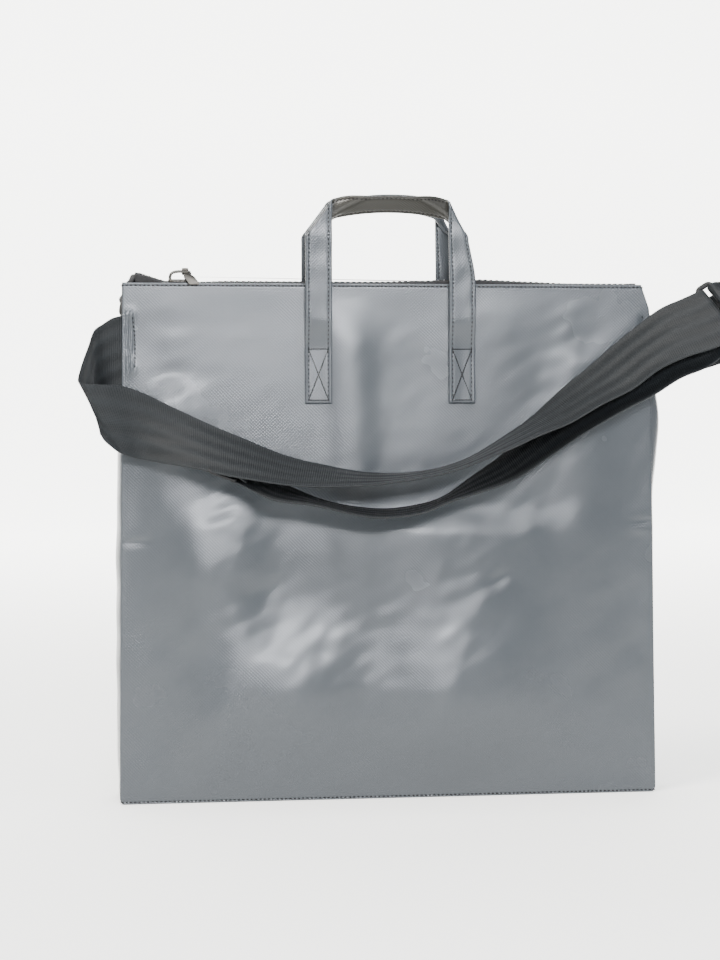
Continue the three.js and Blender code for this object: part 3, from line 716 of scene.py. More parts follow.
# ---- The shell's shape, in millimetres ----
BASE_WIDTH = 394.0
TOP_WIDTH = 386.0
BASE_DEPTH = 44.0
TOP_DEPTH = 16.0
CORNER_SLANT = 6.0
CORNER_SLANT_HEIGHT = 18.0


def bag_width(z, height):
    return BASE_WIDTH + (TOP_WIDTH - BASE_WIDTH) * z / height


def edge_depth(z, height):
    return (BASE_DEPTH + (TOP_DEPTH - BASE_DEPTH) * z / height) / 2


def crown(x, z, height, amount):
    share = np.clip(np.abs(x) / (bag_width(z, height) / 2), 0, 1)
    rise = np.sin(math.pi * np.clip(z / height, 0, 1) ** 0.75)
    return amount * np.cos(share * math.pi / 2) * np.clip(rise, 0, None)


def puckers(x, z):
    """Small gathers where the webbing is sewn through the panel's side edges."""
    left = smoothstep(-193, -190, x) * (1 - smoothstep(-186, -182.5, x))
    left = left * smoothstep(308, 313, z) * (1 - smoothstep(350, 354, z))
    ridges = 0.3 * np.sin((x + 184.4) * 2 * math.pi / 3.1) + 0.28 * ripple(x, z, 5.0, 71, 0.6)
    corners = 0.9 * np.exp(-((x + 187) ** 2 + (z - 351) ** 2) / 14) + 0.9 * np.exp(
        -((x + 186.5) ** 2 + (z - 311.5) ** 2) / 16)
    right = np.exp(-((x - 188) ** 2 / 9 + (z - 346) ** 2 / 22))
    return left * ridges + corners - 0.7 * right


# Bulges of the hung panel: middle (x, z) of each upper flank, its half sizes, and how far it stands out.
BULGES = (
    (-126, 208, 30, 36, 0.7), (-78, 116, 44, 42, 1.1), (-132, 80, 24, 32, 0.55), (41, 203, 74, 13, 0.42),
    (58, 124, 56, 52, 0.95), (-157, 296, 22, 16, 0.3), (143, 326, 20, 12, 0.2), (-28, 346, 16, 18, 0.22),
    (10, 90, 60, 40, 0.4),
)


def front_swell(x, z, height, sag, wrinkle):
    """How far the front panel stands out past its side edges: the crown, the bulges that hang below
    the strap, and the handling wrinkles."""
    body = crown(x, z, height, 1.5)
    belly = np.zeros(np.broadcast(x, z).shape)
    for bx, bz, half_x, half_z, share in BULGES:
        shape = np.exp(-np.abs((x - bx) / half_x) ** 2.4)
        flank = 1 - smoothstep(bz - half_z, bz + half_z, z)
        belly = belly + share * shape * flank * smoothstep(0, max(bz - half_z, 30), z)
    line = 96.0 + 120.0 * (np.abs(x + 14.0) / 110.0) ** 2.3
    inside = (1 - smoothstep(150, 192, np.abs(x))) * smoothstep(0, 55, z)
    gloss_zone = np.exp(-((z - line) / 60.0) ** 2) * inside
    calm = 0.3 + 0.7 * (1 - smoothstep(-10, 60, z - line))
    folds = ripple(x, z, 34.0, 11, 1.3, 0.9) * (0.5 + 0.35 * gloss_zone) * calm
    folds = folds + 0.5 * ripple(x, z, 15.0, 12, 1.5, 0.7) * (0.3 + 0.6 * gloss_zone)
    folds = folds + 1.1 * ripple(x, z, 95.0, 13)
    edges = (1 - smoothstep(183, 195, np.abs(x))) * smoothstep(2, 16, z) * (1 - smoothstep(352, 371, z))
    creases = -0.9 * np.exp(-(((x + 184) / 9) ** 2 + ((z - 188) / 2.2) ** 2))
    creases = creases - 0.7 * np.exp(-(((x - 188) / 8) ** 2 + ((z - 200) / 2.0) ** 2))
    creases = creases + 0.5 * np.exp(-(((x - 186) / 8) ** 2 + ((z - 194) / 3.0) ** 2))
    return body + sag * belly + wrinkle * folds * edges + creases + puckers(x, z)


def back_swell(x, z, height, sag, wrinkle):
    """The back panel: a plainer belly with its own wrinkles."""
    inside = (1 - smoothstep(150, 192, np.abs(x))) * smoothstep(0, 60, z)
    line = 120.0 + 90.0 * (np.abs(x - 20.0) / 130.0) ** 2.0
    belly = 0.45 * sag * (1 - smoothstep(-45, 45, z - line)) * inside
    edges = (1 - smoothstep(183, 195, np.abs(x))) * smoothstep(2, 16, z) * (1 - smoothstep(352, 371, z))
    folds = ripple(x, z, 40.0, 21, 1.5, -0.7) + 0.4 * ripple(x, z, 16.0, 22, 1.8, -0.5)
    folds += 1.1 * ripple(x, z, 100.0, 23)
    return crown(x, z, height, 4.0) + belly + wrinkle * folds * edges


def panel_depth(facing, x, z, shell):
    """Distance of a panel's outer face from the middle plane."""
    height = shell.height / MM
    swell = front_swell if facing < 0 else back_swell
    return edge_depth(z, height) + swell(x, z, height, shell.sag / MM, shell.wrinkle / MM)


def panel_grid(facing, shell):
    """Middle surface of a panel with its flat coordinates and its rolled, stitched edges."""
    height = shell.height / MM
    fine = [0, 0.2, 0.5, 0.9, 1.4]
    side = np.concatenate([fine, np.arange(2.0, 15.0, 0.75)])
    places = np.concatenate([side, spaced((16, BASE_WIDTH - 16, 2.3)), BASE_WIDTH - side[::-1]])
    share = places / BASE_WIDTH
    z = np.concatenate([
        [0, 0.2, 0.5, 0.9, 1.4, 2.0, 2.8, 3.8, 5.0], spaced((6.5, height - 8, 2.25)),
        height - np.array([6.6, 5.4, 4.4, 3.6, 3.0, 2.6, 2.3, 2.0, 1.7, 1.4, 1.0, 0.6, 0.3, 0.12, 0])])
    share, z = np.meshgrid(share, z)
    half = bag_width(z, height) / 2
    above = np.clip(z - (height - CORNER_SLANT_HEIGHT), 0, None) / CORNER_SLANT_HEIGHT
    low = np.clip(4.5 - z, 0, None)
    left = -half + 0.75 * np.clip(3.5 - z, 0, None)
    right = half - CORNER_SLANT * above - (4.5 - np.sqrt(4.5 ** 2 - low ** 2))
    x = left + (right - left) * share
    depth = panel_depth(facing, x, z, shell)
    inset = shell.stitch_inset / MM
    depth = depth - 0.28 * np.exp(-(((height - z) - inset) / 0.5) ** 2)
    depth = depth - 0.3 * np.exp(-((z - 1.6) / 0.5) ** 2)
    wall = shell.wall / MM
    middle = np.stack([x, facing * (depth - wall / 2), z], axis=-1)
    from_side = np.minimum(x - left, right - x)
    half_wall = wall / 2 * rounded_edge(from_side, 0.9) * rounded_edge(height - z, 0.9)
    half_wall = half_wall * rounded_edge(z, 0.9)
    return middle, half_wall, x, z


# ---- Handle strip, in millimetres ----
HANDLE_SPACING = 105.0
SEWN_BOTTOM = 287.0
FOLD_HEIGHT = 417.4
FOLD_RADIUS = 1.5
BAND_TILT = {-1: math.radians(55), 1: math.radians(61)}


def handle_grid(facing, shell, handles):
    """The strip's middle surface: sewn end, leg, diagonal fold, arched band, and back down again.
    Across the strip, t runs from the leg's outer edge to its inner edge."""
    width = handles.width / MM
    edge = width / 2
    inset = handles.stitch_inset / MM
    groove = edge - inset
    t = np.unique(np.round(np.concatenate([
        [0.0], edge - np.array([0, 0.15, 0.45, 0.9, 1.5, 2.2, inset, 3.2, 4.0, 5.2, 6.8, 8.2])]), 4))
    t = np.concatenate([-t[t > 0][::-1], t])
    turn = FOLD_HEIGHT - SEWN_BOTTOM
    slope_x, slope_z = 0.6, 0.8
    swing = 2 * math.atan2(slope_z, slope_x) - math.pi / 2
    reach = (HANDLE_SPACING / 2) / (math.sin(swing) / swing)
    end = turn + reach + 0.6 * math.pi * FOLD_RADIUS
    g = spaced((0, 41, 1.0), (41, turn - 5, 1.4), (turn - 5, turn + 9, 0.6), (turn + 9, end, 1.4))
    g, t = np.meshgrid(g, t, indexing="ij")
    slant = slope_z / slope_x * smoothstep(turn - 30, turn - 3, g) * (1 - smoothstep(turn + 8, turn + 36, g))
    s = g + slant * t
    # Fold the flat strip about its slanted line.
    a = t * slope_x + (s - turn) * slope_z
    d = -t * slope_z + (s - turn) * slope_x
    bend = np.clip(d / FOLD_RADIUS, 0, math.pi)
    over = np.clip(d - math.pi * FOLD_RADIUS, 0, None)
    q = np.where(d < 0, d, FOLD_RADIUS * np.sin(bend)) - over
    flat_x = a * slope_x - q * slope_z
    flat_z = a * slope_z + q * slope_x
    behind = FOLD_RADIUS * (1 - np.cos(bend))
    # Arch and tilt the band past the fold.
    ex, ez = math.cos(swing), math.sin(swing)
    u = flat_x * ex + flat_z * ez
    v = -flat_x * ez + flat_z * ex
    along = np.clip(u, 0, reach)
    angle = swing * (1 - along / reach)
    arc_x = reach / swing * (math.sin(swing) - np.sin(angle)) + np.minimum(u, 0) * ex
    arc_z = reach / swing * (np.cos(angle) - math.cos(swing)) + np.minimum(u, 0) * ez
    tilt = BAND_TILT[facing]
    lifted = edge - (edge - v) * math.cos(tilt)
    band_x = arc_x - lifted * np.sin(angle)
    band_z = arc_z + lifted * np.cos(angle)
    amount = smoothstep(0, 13, over)
    x = -HANDLE_SPACING / 2 + flat_x * (1 - amount) + band_x * amount
    z = FOLD_HEIGHT + flat_z * (1 - amount) + band_z * amount
    lean = v * math.sin(tilt) * amount
    # On the panel the strip lies flat; above it the legs stand a little clear.
    thick = handles.thickness / MM
    sewn = panel_depth(facing, x, np.minimum(z, 340.0), shell) + 0.15 + thick / 2
    free = 14.25
    lift = smoothstep(38, 62, g)
    depth = sewn * (1 - lift) + free * lift - behind + lean
    loose = smoothstep(45, 70, g) * (1 - smoothstep(turn + 10, turn + 30, g))
    depth = depth + 0.2 * ripple(t, s, 19.0, 31 + facing, 1.0) * loose
    left = np.stack([x, facing * depth, z], axis=-1)
    right = left[::-1].copy()
    right[..., 0] *= -1
    taper = smoothstep(372, 420, right[..., 2]) * np.clip((right[..., 0] - 41) / 21, 0, 1)
    right[..., 0] -= 7.0 * taper
    if facing > 0:
        drawn_in = smoothstep(330, 372, right[..., 2])
        right[..., 0] -= 5.5 * drawn_in * smoothstep(20, 44, right[..., 0])
    middle = np.concatenate([left, right[1:]])
    length = np.concatenate([s, 2 * end - s[::-1][1:]])
    across = np.concatenate([t, t[1:]])
    press = 0.2 * np.exp(-((np.abs(across) - groove) / 0.55) ** 2)
    pillow = 0.16 * np.exp(-((np.abs(across) - edge + 1.3) / 0.8) ** 2) - 0.1 * np.exp(-(across / 4.0) ** 2)
    half = thick / 2 * rounded_edge(edge - np.abs(across), 1.0)
    ends = rounded_edge(np.minimum(length, 2 * end - length), 0.9)
    return middle, (half - press + pillow) * ends, across, length, groove, end


# ---- Strap webbing: stations of (upper edge, way across), in millimetres ----
WEB = 50.0
RING_BAR = unit((19, -28, -35))
RING_OUT = np.array([0.89, -0.21, 0.41])
RING_OUT = unit(RING_OUT - RING_BAR * RING_OUT.dot(RING_BAR))
RING_FACE = np.cross(RING_OUT, RING_BAR)
RING_NEAR = np.array([236.0, -38.0, 349.0])
RING_FAR = RING_NEAR + 11.0 * RING_OUT
ADJUSTER_BAR = unit((-4, -43, -25.5))
ADJUSTER_ALONG = np.array([36.0, -1.0, -16.5])
ADJUSTER_ALONG = unit(ADJUSTER_ALONG - ADJUSTER_BAR * ADJUSTER_ALONG.dot(ADJUSTER_BAR))
ADJUSTER_BELOW = np.cross(ADJUSTER_ALONG, ADJUSTER_BAR)
ADJUSTER_CENTRE = np.array([-119.0, -21.0, 266.6]) + ADJUSTER_BAR * 20.6 + ADJUSTER_BELOW * 6.8


def round_bar(centre, radius, degrees, out, face, bar):
    """A strip edge at an angle round a bar: 0 is outwards, 90 is behind."""
    a = math.radians(degrees)
    middle = centre + out * radius * math.cos(a) + face * radius * math.sin(a)
    return (*(middle - bar * WEB / 2), *bar)


SEWN_LEFT = [(-184, -6.9, 350.5, 0, -1.9, -50), (-192, -6.9, 350.5, 0, -1.9, -50)]
FOLD = [
    (-200.3, -8.6, 348.4, 0, -0.5, -50), (-207, -9.6, 344.2, -1, -5, -50), (-213, -12, 339.8, 1, -12, -50),
    (-217.5, -15.5, 328, 7, -16, -48), (-223.2, -20, 312, 15, -17, -48), (-224.6, -24, 304.5, 24, -15, -48),
    (-221.5, -26.5, 301.8, 25.5, -11, -48.5), (-210, -25.5, 301.2, 19, -11, -50),
]
FRONT_RUN = [
    (-190, -20.6, 299, 11, -14, -51), (-158, -19, 285, 3, -29, -41), (-122, -21, 268, -4, -41, -29),
    (-82, -21, 252, -8, -45, -20), (-48, -20.6, 242, -8, -48, -12), (-8, -21.3, 236.5, -7, -49, -5),
    (27, -21.2, 239, -5, -50, -2), (49, -21, 244.5, -2, -50, -0.5), (70, -20.6, 255, 0, -50, -2),
    (91, -20.2, 269, 4, -50, -5), (113, -19.8, 286, 6, -48, -13), (133, -19.5, 304, 10, -46, -18),
    (156, -19, 323, 12, -42, -25), (178, -19.4, 341, 10, -40, -29), (198, -22, 356, 10, -34, -35),
    (212, -24.6, 362.6, 15, -31, -36),
]
TURN = [round_bar(RING_NEAR, 4.0, a, RING_OUT, RING_FACE, RING_BAR) for a in (-95, -60, -20, 20, 60, 95)]
REAR_RUN = [
    (213, -17.5, 351, 14, -31, -37), (196, -15.5, 339.5, 10, -36, -34), (177, -15.6, 325, 9, -39, -31),
    (155, -15.8, 309, 8, -43, -26), (132, -16, 291.5, 6, -45, -22), (106, -17.2, 271, 4, -46, -19),
    (80, -18.8, 249, 2, -47, -15), (57, -20, 232.5, -3, -49, -8), (36, -21, 219, -4, -50, -1),
    (20, -21.6, 214, -6, -49, -2.5), (-5, -22, 211, -7, -49, -3), (-34, -21.6, 214, -6, -49, -2),
    (-64, -20.8, 223, -5, -49, -5), (-90, -19.8, 235.5, -3, -47, -13),
]
NEAR_BAR = ADJUSTER_CENTRE + ADJUSTER_ALONG * 8.8
WRAP = [
    round_bar(NEAR_BAR + ADJUSTER_ALONG * 6.0, 2.6, 90, -ADJUSTER_ALONG, ADJUSTER_BELOW, ADJUSTER_BAR),
    *[round_bar(NEAR_BAR, 2.5, a, -ADJUSTER_ALONG, ADJUSTER_BELOW, ADJUSTER_BAR)
      for a in (75, 30, -15, -60, -100)],
    round_bar(NEAR_BAR + ADJUSTER_ALONG * 9.0, 0.2, -90, -ADJUSTER_ALONG, ADJUSTER_BELOW, ADJUSTER_BAR),
]
TAB = [
    (184, -6.9, 352, 0, -1.9, -50), (192, -6.9, 352, 0, -1.9, -50), (200.3, -8.6, 352, 0, 0, -1),
    (212, -8.6, 357, 2, 0, -50), (232, -9, 363, 8, -3, -49), (250, -12, 371, 14, -10, -46),
    (258, -18, 376, 17, -20, -40), (255, -24.5, 378, 18, -26, -37),
    *[round_bar(RING_FAR, r, a, RING_OUT, RING_FACE, RING_BAR)
      for r, a in ((5.2, 10), (3.4, -30), (3.1, -80), (3.1, -130), (3.1, -180), (3.3, -225))],
]


def catmull_rom(points, samples):
    """The centripetal curve through the points, at even steps of its own parameter."""
    points = np.asarray(points, dtype=float)
    count = len(points)
    place = samples * (count - 1)
    k = np.minimum(place.astype(int), count - 2)
    weight = (place - k)[:, None]
    first = 2 * points[0] - points[1]
    last = 2 * points[-1] - points[-2]
    padded = np.concatenate([[first], points, [last]])
    p0, p1, p2, p3 = (padded[k + i] for i in range(4))
    d0, d1, d2 = (np.maximum(np.linalg.norm(b - a, axis=1), 1e-6)[:, None] ** 0.5
                  for a, b in ((p0, p1), (p1, p2), (p2, p3)))
    t1 = ((p1 - p0) / d0 - (p2 - p0) / (d0 + d1) + (p2 - p1) / d1) * d1
    t2 = ((p2 - p1) / d1 - (p3 - p1) / (d1 + d2) + (p3 - p2) / d2) * d1
    c2 = -3 * p1 + 3 * p2 - 2 * t1 - t2
    c3 = 2 * p1 - 2 * p2 + t1 + t2
    return p1 + t1 * weight + c2 * weight ** 2 + c3 * weight ** 3


def webbing_edges(stations, step=1.3):
    """The strip's two edges as smooth curves with rows an even step apart."""
    stations = np.asarray(stations, dtype=float)
    near = stations[:, :3]
    # Where the webbing folds on the slant, its cross line is up to 56 mm long.
    reach = np.clip(np.linalg.norm(stations[:, 3:], axis=1), WEB, 56.0)[:, None]
    far = near + unit(stations[:, 3:]) * reach
    dense = np.linspace(0, 1, 60 * len(stations))
    a = catmull_rom(near, dense)
    b = catmull_rom(far, dense)
    run = np.concatenate([[0], np.cumsum(np.linalg.norm(np.diff((a + b) / 2, axis=0), axis=1))])
    even = np.linspace(0, run[-1], int(run[-1] / step) + 1)
    near_edge = np.stack([np.interp(even, run, a[:, i]) for i in range(3)], axis=1)
    far_edge = np.stack([np.interp(even, run, b[:, i]) for i in range(3)], axis=1)
    return near_edge, far_edge, even


def webbing_object(name, near, far, run, strap, material, cup=0.5, seed=5):
    """Webbing between two edge curves, with round selvedges and a slight cup across it."""
    share = np.unique(np.round(np.concatenate([
        [0, 0.004, 0.012, 0.025, 0.045], np.linspace(0.07, 0.93, 19), [0.955, 0.975, 0.988, 0.996, 1]]), 4))
    middle = near[:, None] * (1 - share)[None, :, None] + far[:, None] * share[None, :, None]
    normal = grid_normals(middle)
    bow = 4 * share * (1 - share)
    u = np.broadcast_to(share * WEB, middle.shape[:2])
    v = np.broadcast_to(run[:, None], middle.shape[:2])
    wave = 0.35 * ripple(u, v, 60.0, seed, 0.7)
    middle = middle + normal * (cup * bow[None, :] + wave)[..., None]
    half = strap.thickness / MM / 2 * rounded_edge(np.minimum(share, 1 - share) * WEB, 0.7)
    half = np.broadcast_to(half, middle.shape[:2])
    return sheet_object(name, middle, half, half, u, v, [material])


# ---- Operators ----
def settings():
    return bpy.context.scene.tote_bag_shell, bpy.context.scene.tote_bag_finish


class TOTE_OT_camera(bpy.types.Operator):
    """Sets the camera and the studio: pale floor and wall, a broad key light and soft fills"""
    bl_idname = "tote.camera"
    bl_label = "Camera and Studio"

    def execute(self, context):
        data = bpy.data.cameras.new("camera")
        data.lens = 82
        data.sensor_width = 36
        data.clip_end = 50
        camera = bpy.data.objects.new("camera", data)
        camera.location = (-0.2227, -1.5844, 0.315)
        camera.rotation_euler = (math.radians(90 - 3.01), 0, math.radians(-7.266))
        context.scene.collection.objects.link(camera)
        context.scene.camera = camera
        self.studio(context)
        self.light(context, "key_softbox", (-1.9, -1.4, 2.6), (0, 0, 0.15), 1.0, 1.0, 138, "fffaf2")
        self.light(context, "front_softbox", (0.06, -2.6, 0.98), (0, 0, 0.2), 0.7, 0.3, 78, "f6f9ff")
        self.light(context, "right_fill", (2.4, -1.6, 1.6), (0, 0, 0.15), 1.2, 1.2, 14, "f4f7ff")
        self.light(context, "overhead", (0, -0.5, 2.8), (0, 0.1, 0), 2.0, 1.6, 95, "ffffff")
        world = bpy.data.worlds.new("studio_air")
        world.use_nodes = True
        world.node_tree.nodes["Background"].inputs[0].default_value = to_linear("eef0f2")
        world.node_tree.nodes["Background"].inputs[1].default_value = 0.45
        context.scene.world = world
        return {"FINISHED"}

    def studio(self, context):
        """Floor and wall in one sweep with a wide round corner, well behind the bag."""
        wall = 3400.0
        corner = 900.0
        angle = np.linspace(0, math.pi / 2, 16)
        y = np.concatenate([[-2200, 0, 1200], wall - corner + corner * np.sin(angle), [wall]])
        z = np.concatenate([[0, 0, 0], corner - corner * np.cos(angle), [4200]])
        x = np.array([-4200.0, 4200.0])
        points = np.stack([np.repeat(x, len(y)), np.tile(y, 2), np.tile(z, 2) - 0.05], axis=1)
        k = np.arange(len(y) - 1)
        faces = np.stack([k, k + len(y), k + len(y) + 1, k + 1], axis=1)
        mesh = bpy.data.meshes.new("studio_sweep")
        mesh.from_pydata((points * MM).tolist(), [], faces.tolist())
        mesh.materials.append(studio_material("pale_board_painted_glow", "e9e9e7"))
        mesh.shade_smooth()
        sweep = bpy.data.objects.new("studio_sweep", mesh)
        context.scene.collection.objects.link(sweep)

    def light(self, context, name, place, aim, width, height, power, tint):
        data = bpy.data.lights.new(name, "AREA")
        data.shape = "RECTANGLE"
        data.size = width
        data.size_y = height
        data.energy = power
        data.color = to_linear(tint)[:3]
        lamp = bpy.data.objects.new(name, data)
        lamp.location = place
        lamp.rotation_euler = (Vector(aim) - Vector(place)).to_track_quat("-Z", "Y").to_euler()
        context.scene.collection.objects.link(lamp)


class TOTE_OT_panels(bpy.types.Operator):
    """Makes the front and back panels as sagging sheets, with their hem and seam stitches"""
    bl_idname = "tote.panels"
    bl_label = "Panels"

    def execute(self, context):
        shell, finish = settings()
        height = shell.height / MM
        gloss = tarpaulin_material("pvc_coated_tarpaulin", finish.tarpaulin)
        chains = []
        for side, facing in (("front", -1), ("back", 1)):
            middle, half, x, z = panel_grid(facing, shell)
            name = side + "_panel_sheet"
            panel, outer, inner = sheet_object(name, middle, half, half, x, z, [gloss])
            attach(panel, "shell")
            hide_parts(side + "_panel")
            face = outer if np.abs(outer[100, 100, 1]) > np.abs(inner[100, 100, 1]) else inner
            rows = z[:, 0]
            columns = np.linspace(0, 1, face.shape[1])
            along = np.linspace(0.006, 0.994, 200)
            for level in (height - shell.stitch_inset / MM, 1.6):
                chain = bilinear(face, rows, columns, np.full(200, level), along)
                chain[:, 1] += facing * 0.3
                chains.append(chain)
            if facing < 0:
                chains.extend(self.seam_marks(face, x, z))
        stitches = stitch_object("shell_stitches", chains, context.scene.tote_bag_stitching, finish)
        finish_piece(stitches, "shell", "thread")
        return {"FINISHED"}

    def seam_marks(self, face, x, z):
        """The short rows that catch the strap's webbing at each side."""
        marks = []
        for path in ([(-185.6, 348.5), (-184.6, 338), (-184.1, 326), (-184.3, 314)],
                     [(187.6, 350.2), (188.3, 346.5), (188.9, 342.8)]):
            path = np.asarray(path)
            at = np.linspace(0, 1, 30)
            px = np.interp(at, np.linspace(0, 1, len(path)), path[:, 0])
            pz = np.interp(at, np.linspace(0, 1, len(path)), path[:, 1])
            chain = []
            for cx, cz in zip(px, pz):
                row = np.searchsorted(z[:, 0], cz) - 1
                column = np.searchsorted(x[row], cx) - 1
                chain.append(face[row, column] * [0, 1, 0] + [cx, -0.5, cz])
            marks.append(np.asarray(chain))
        return marks


class TOTE_OT_sides(bpy.types.Operator):
    """Makes the two side gussets and the base"""
    bl_idname = "tote.sides"
    bl_label = "Gussets and Base"

    def execute(self, context):
        shell, finish = settings()
        height = shell.height / MM
        wall = shell.wall / MM
        gloss = tarpaulin_material("pvc_coated_tarpaulin", finish.tarpaulin)
        for side, hand in (("left", -1), ("right", 1)):
            u = np.concatenate([[0, 0.01, 0.03], np.linspace(0.06, 0.94, 30), [0.97, 0.99, 1]])
            z = spaced((1.2, 354.0, 2.2))
            u, z = np.meshgrid(u, z)
            reach = edge_depth(z, height) - wall - 0.1
            y = (2 * u - 1) * reach
            lift = np.sin(math.pi * np.clip((z - 1.2) / 352.8, 0, 1))
            if hand < 0:
                swell = 3.4 * lift ** 0.5
            else:
                swell = 3.6 * lift ** 0.7 + 6.8 * np.exp(-((z - 274) / 34.0) ** 2)
            arch = np.sin(math.pi * u) ** 0.7
            crumple = 0.3 * ripple(y, z, 42.0, 41 + hand, 1.4) * arch
            sewn = smoothstep(296, 304, z) * (1 - u)
            y = y + sewn * 1.6
            x = hand * (bag_width(z, height) / 2 - wall + swell * arch + crumple + 0.1)
            middle = np.stack([x, y, z], axis=-1)
            half = wall / 2 * rounded_edge(np.minimum(u, 1 - u) * 30, 0.8)
            name = "gusset_" + side + "_sheet"
            piece, _, _ = sheet_object(name, middle, half, half, y, z, [gloss])
            finish_piece(piece, "shell", "tarpaulin", "gusset_" + side)
        x = np.concatenate([BASE_LOW[0] / MM + np.array([0, 0.2, 0.6]),
                            np.linspace(BASE_LOW[0] / MM + 1.2, BASE_HIGH[0] / MM - 1.2, 150),
                            BASE_HIGH[0] / MM - np.array([0.6, 0.2, 0])])
        y = np.linspace(BASE_LOW[1] / MM, BASE_HIGH[1] / MM, 22)
        x, y = np.meshgrid(x, y)
        inside = (1 - np.abs(y) / 21) * (1 - smoothstep(185, 196, np.abs(x)))
        z = 0.5 + 1.1 * inside ** 0.6 + 0.25 * ripple(x, y, 45.0, 51) * inside
        middle = np.stack([x, y, z], axis=-1)
        half = np.full(x.shape, 0.45)
        base, _, _ = sheet_object("base_panel_sheet", middle, half, half, x, y, [gloss])
        finish_piece(base, "shell", "tarpaulin", "base_panel")
        return {"FINISHED"}


def chain_height(x, zipper):
    """Height of the zipper's middle above its level run: the open left end stands up."""
    rise = zipper.end_rise / MM * smoothstep(-157, -185, x)
    arch = 0.6 * smoothstep(-138, -118, x) + 2.1 * np.exp(-((x - 60) / 38.0) ** 2)
    return rise + arch * (1 - smoothstep(108, 134, x))


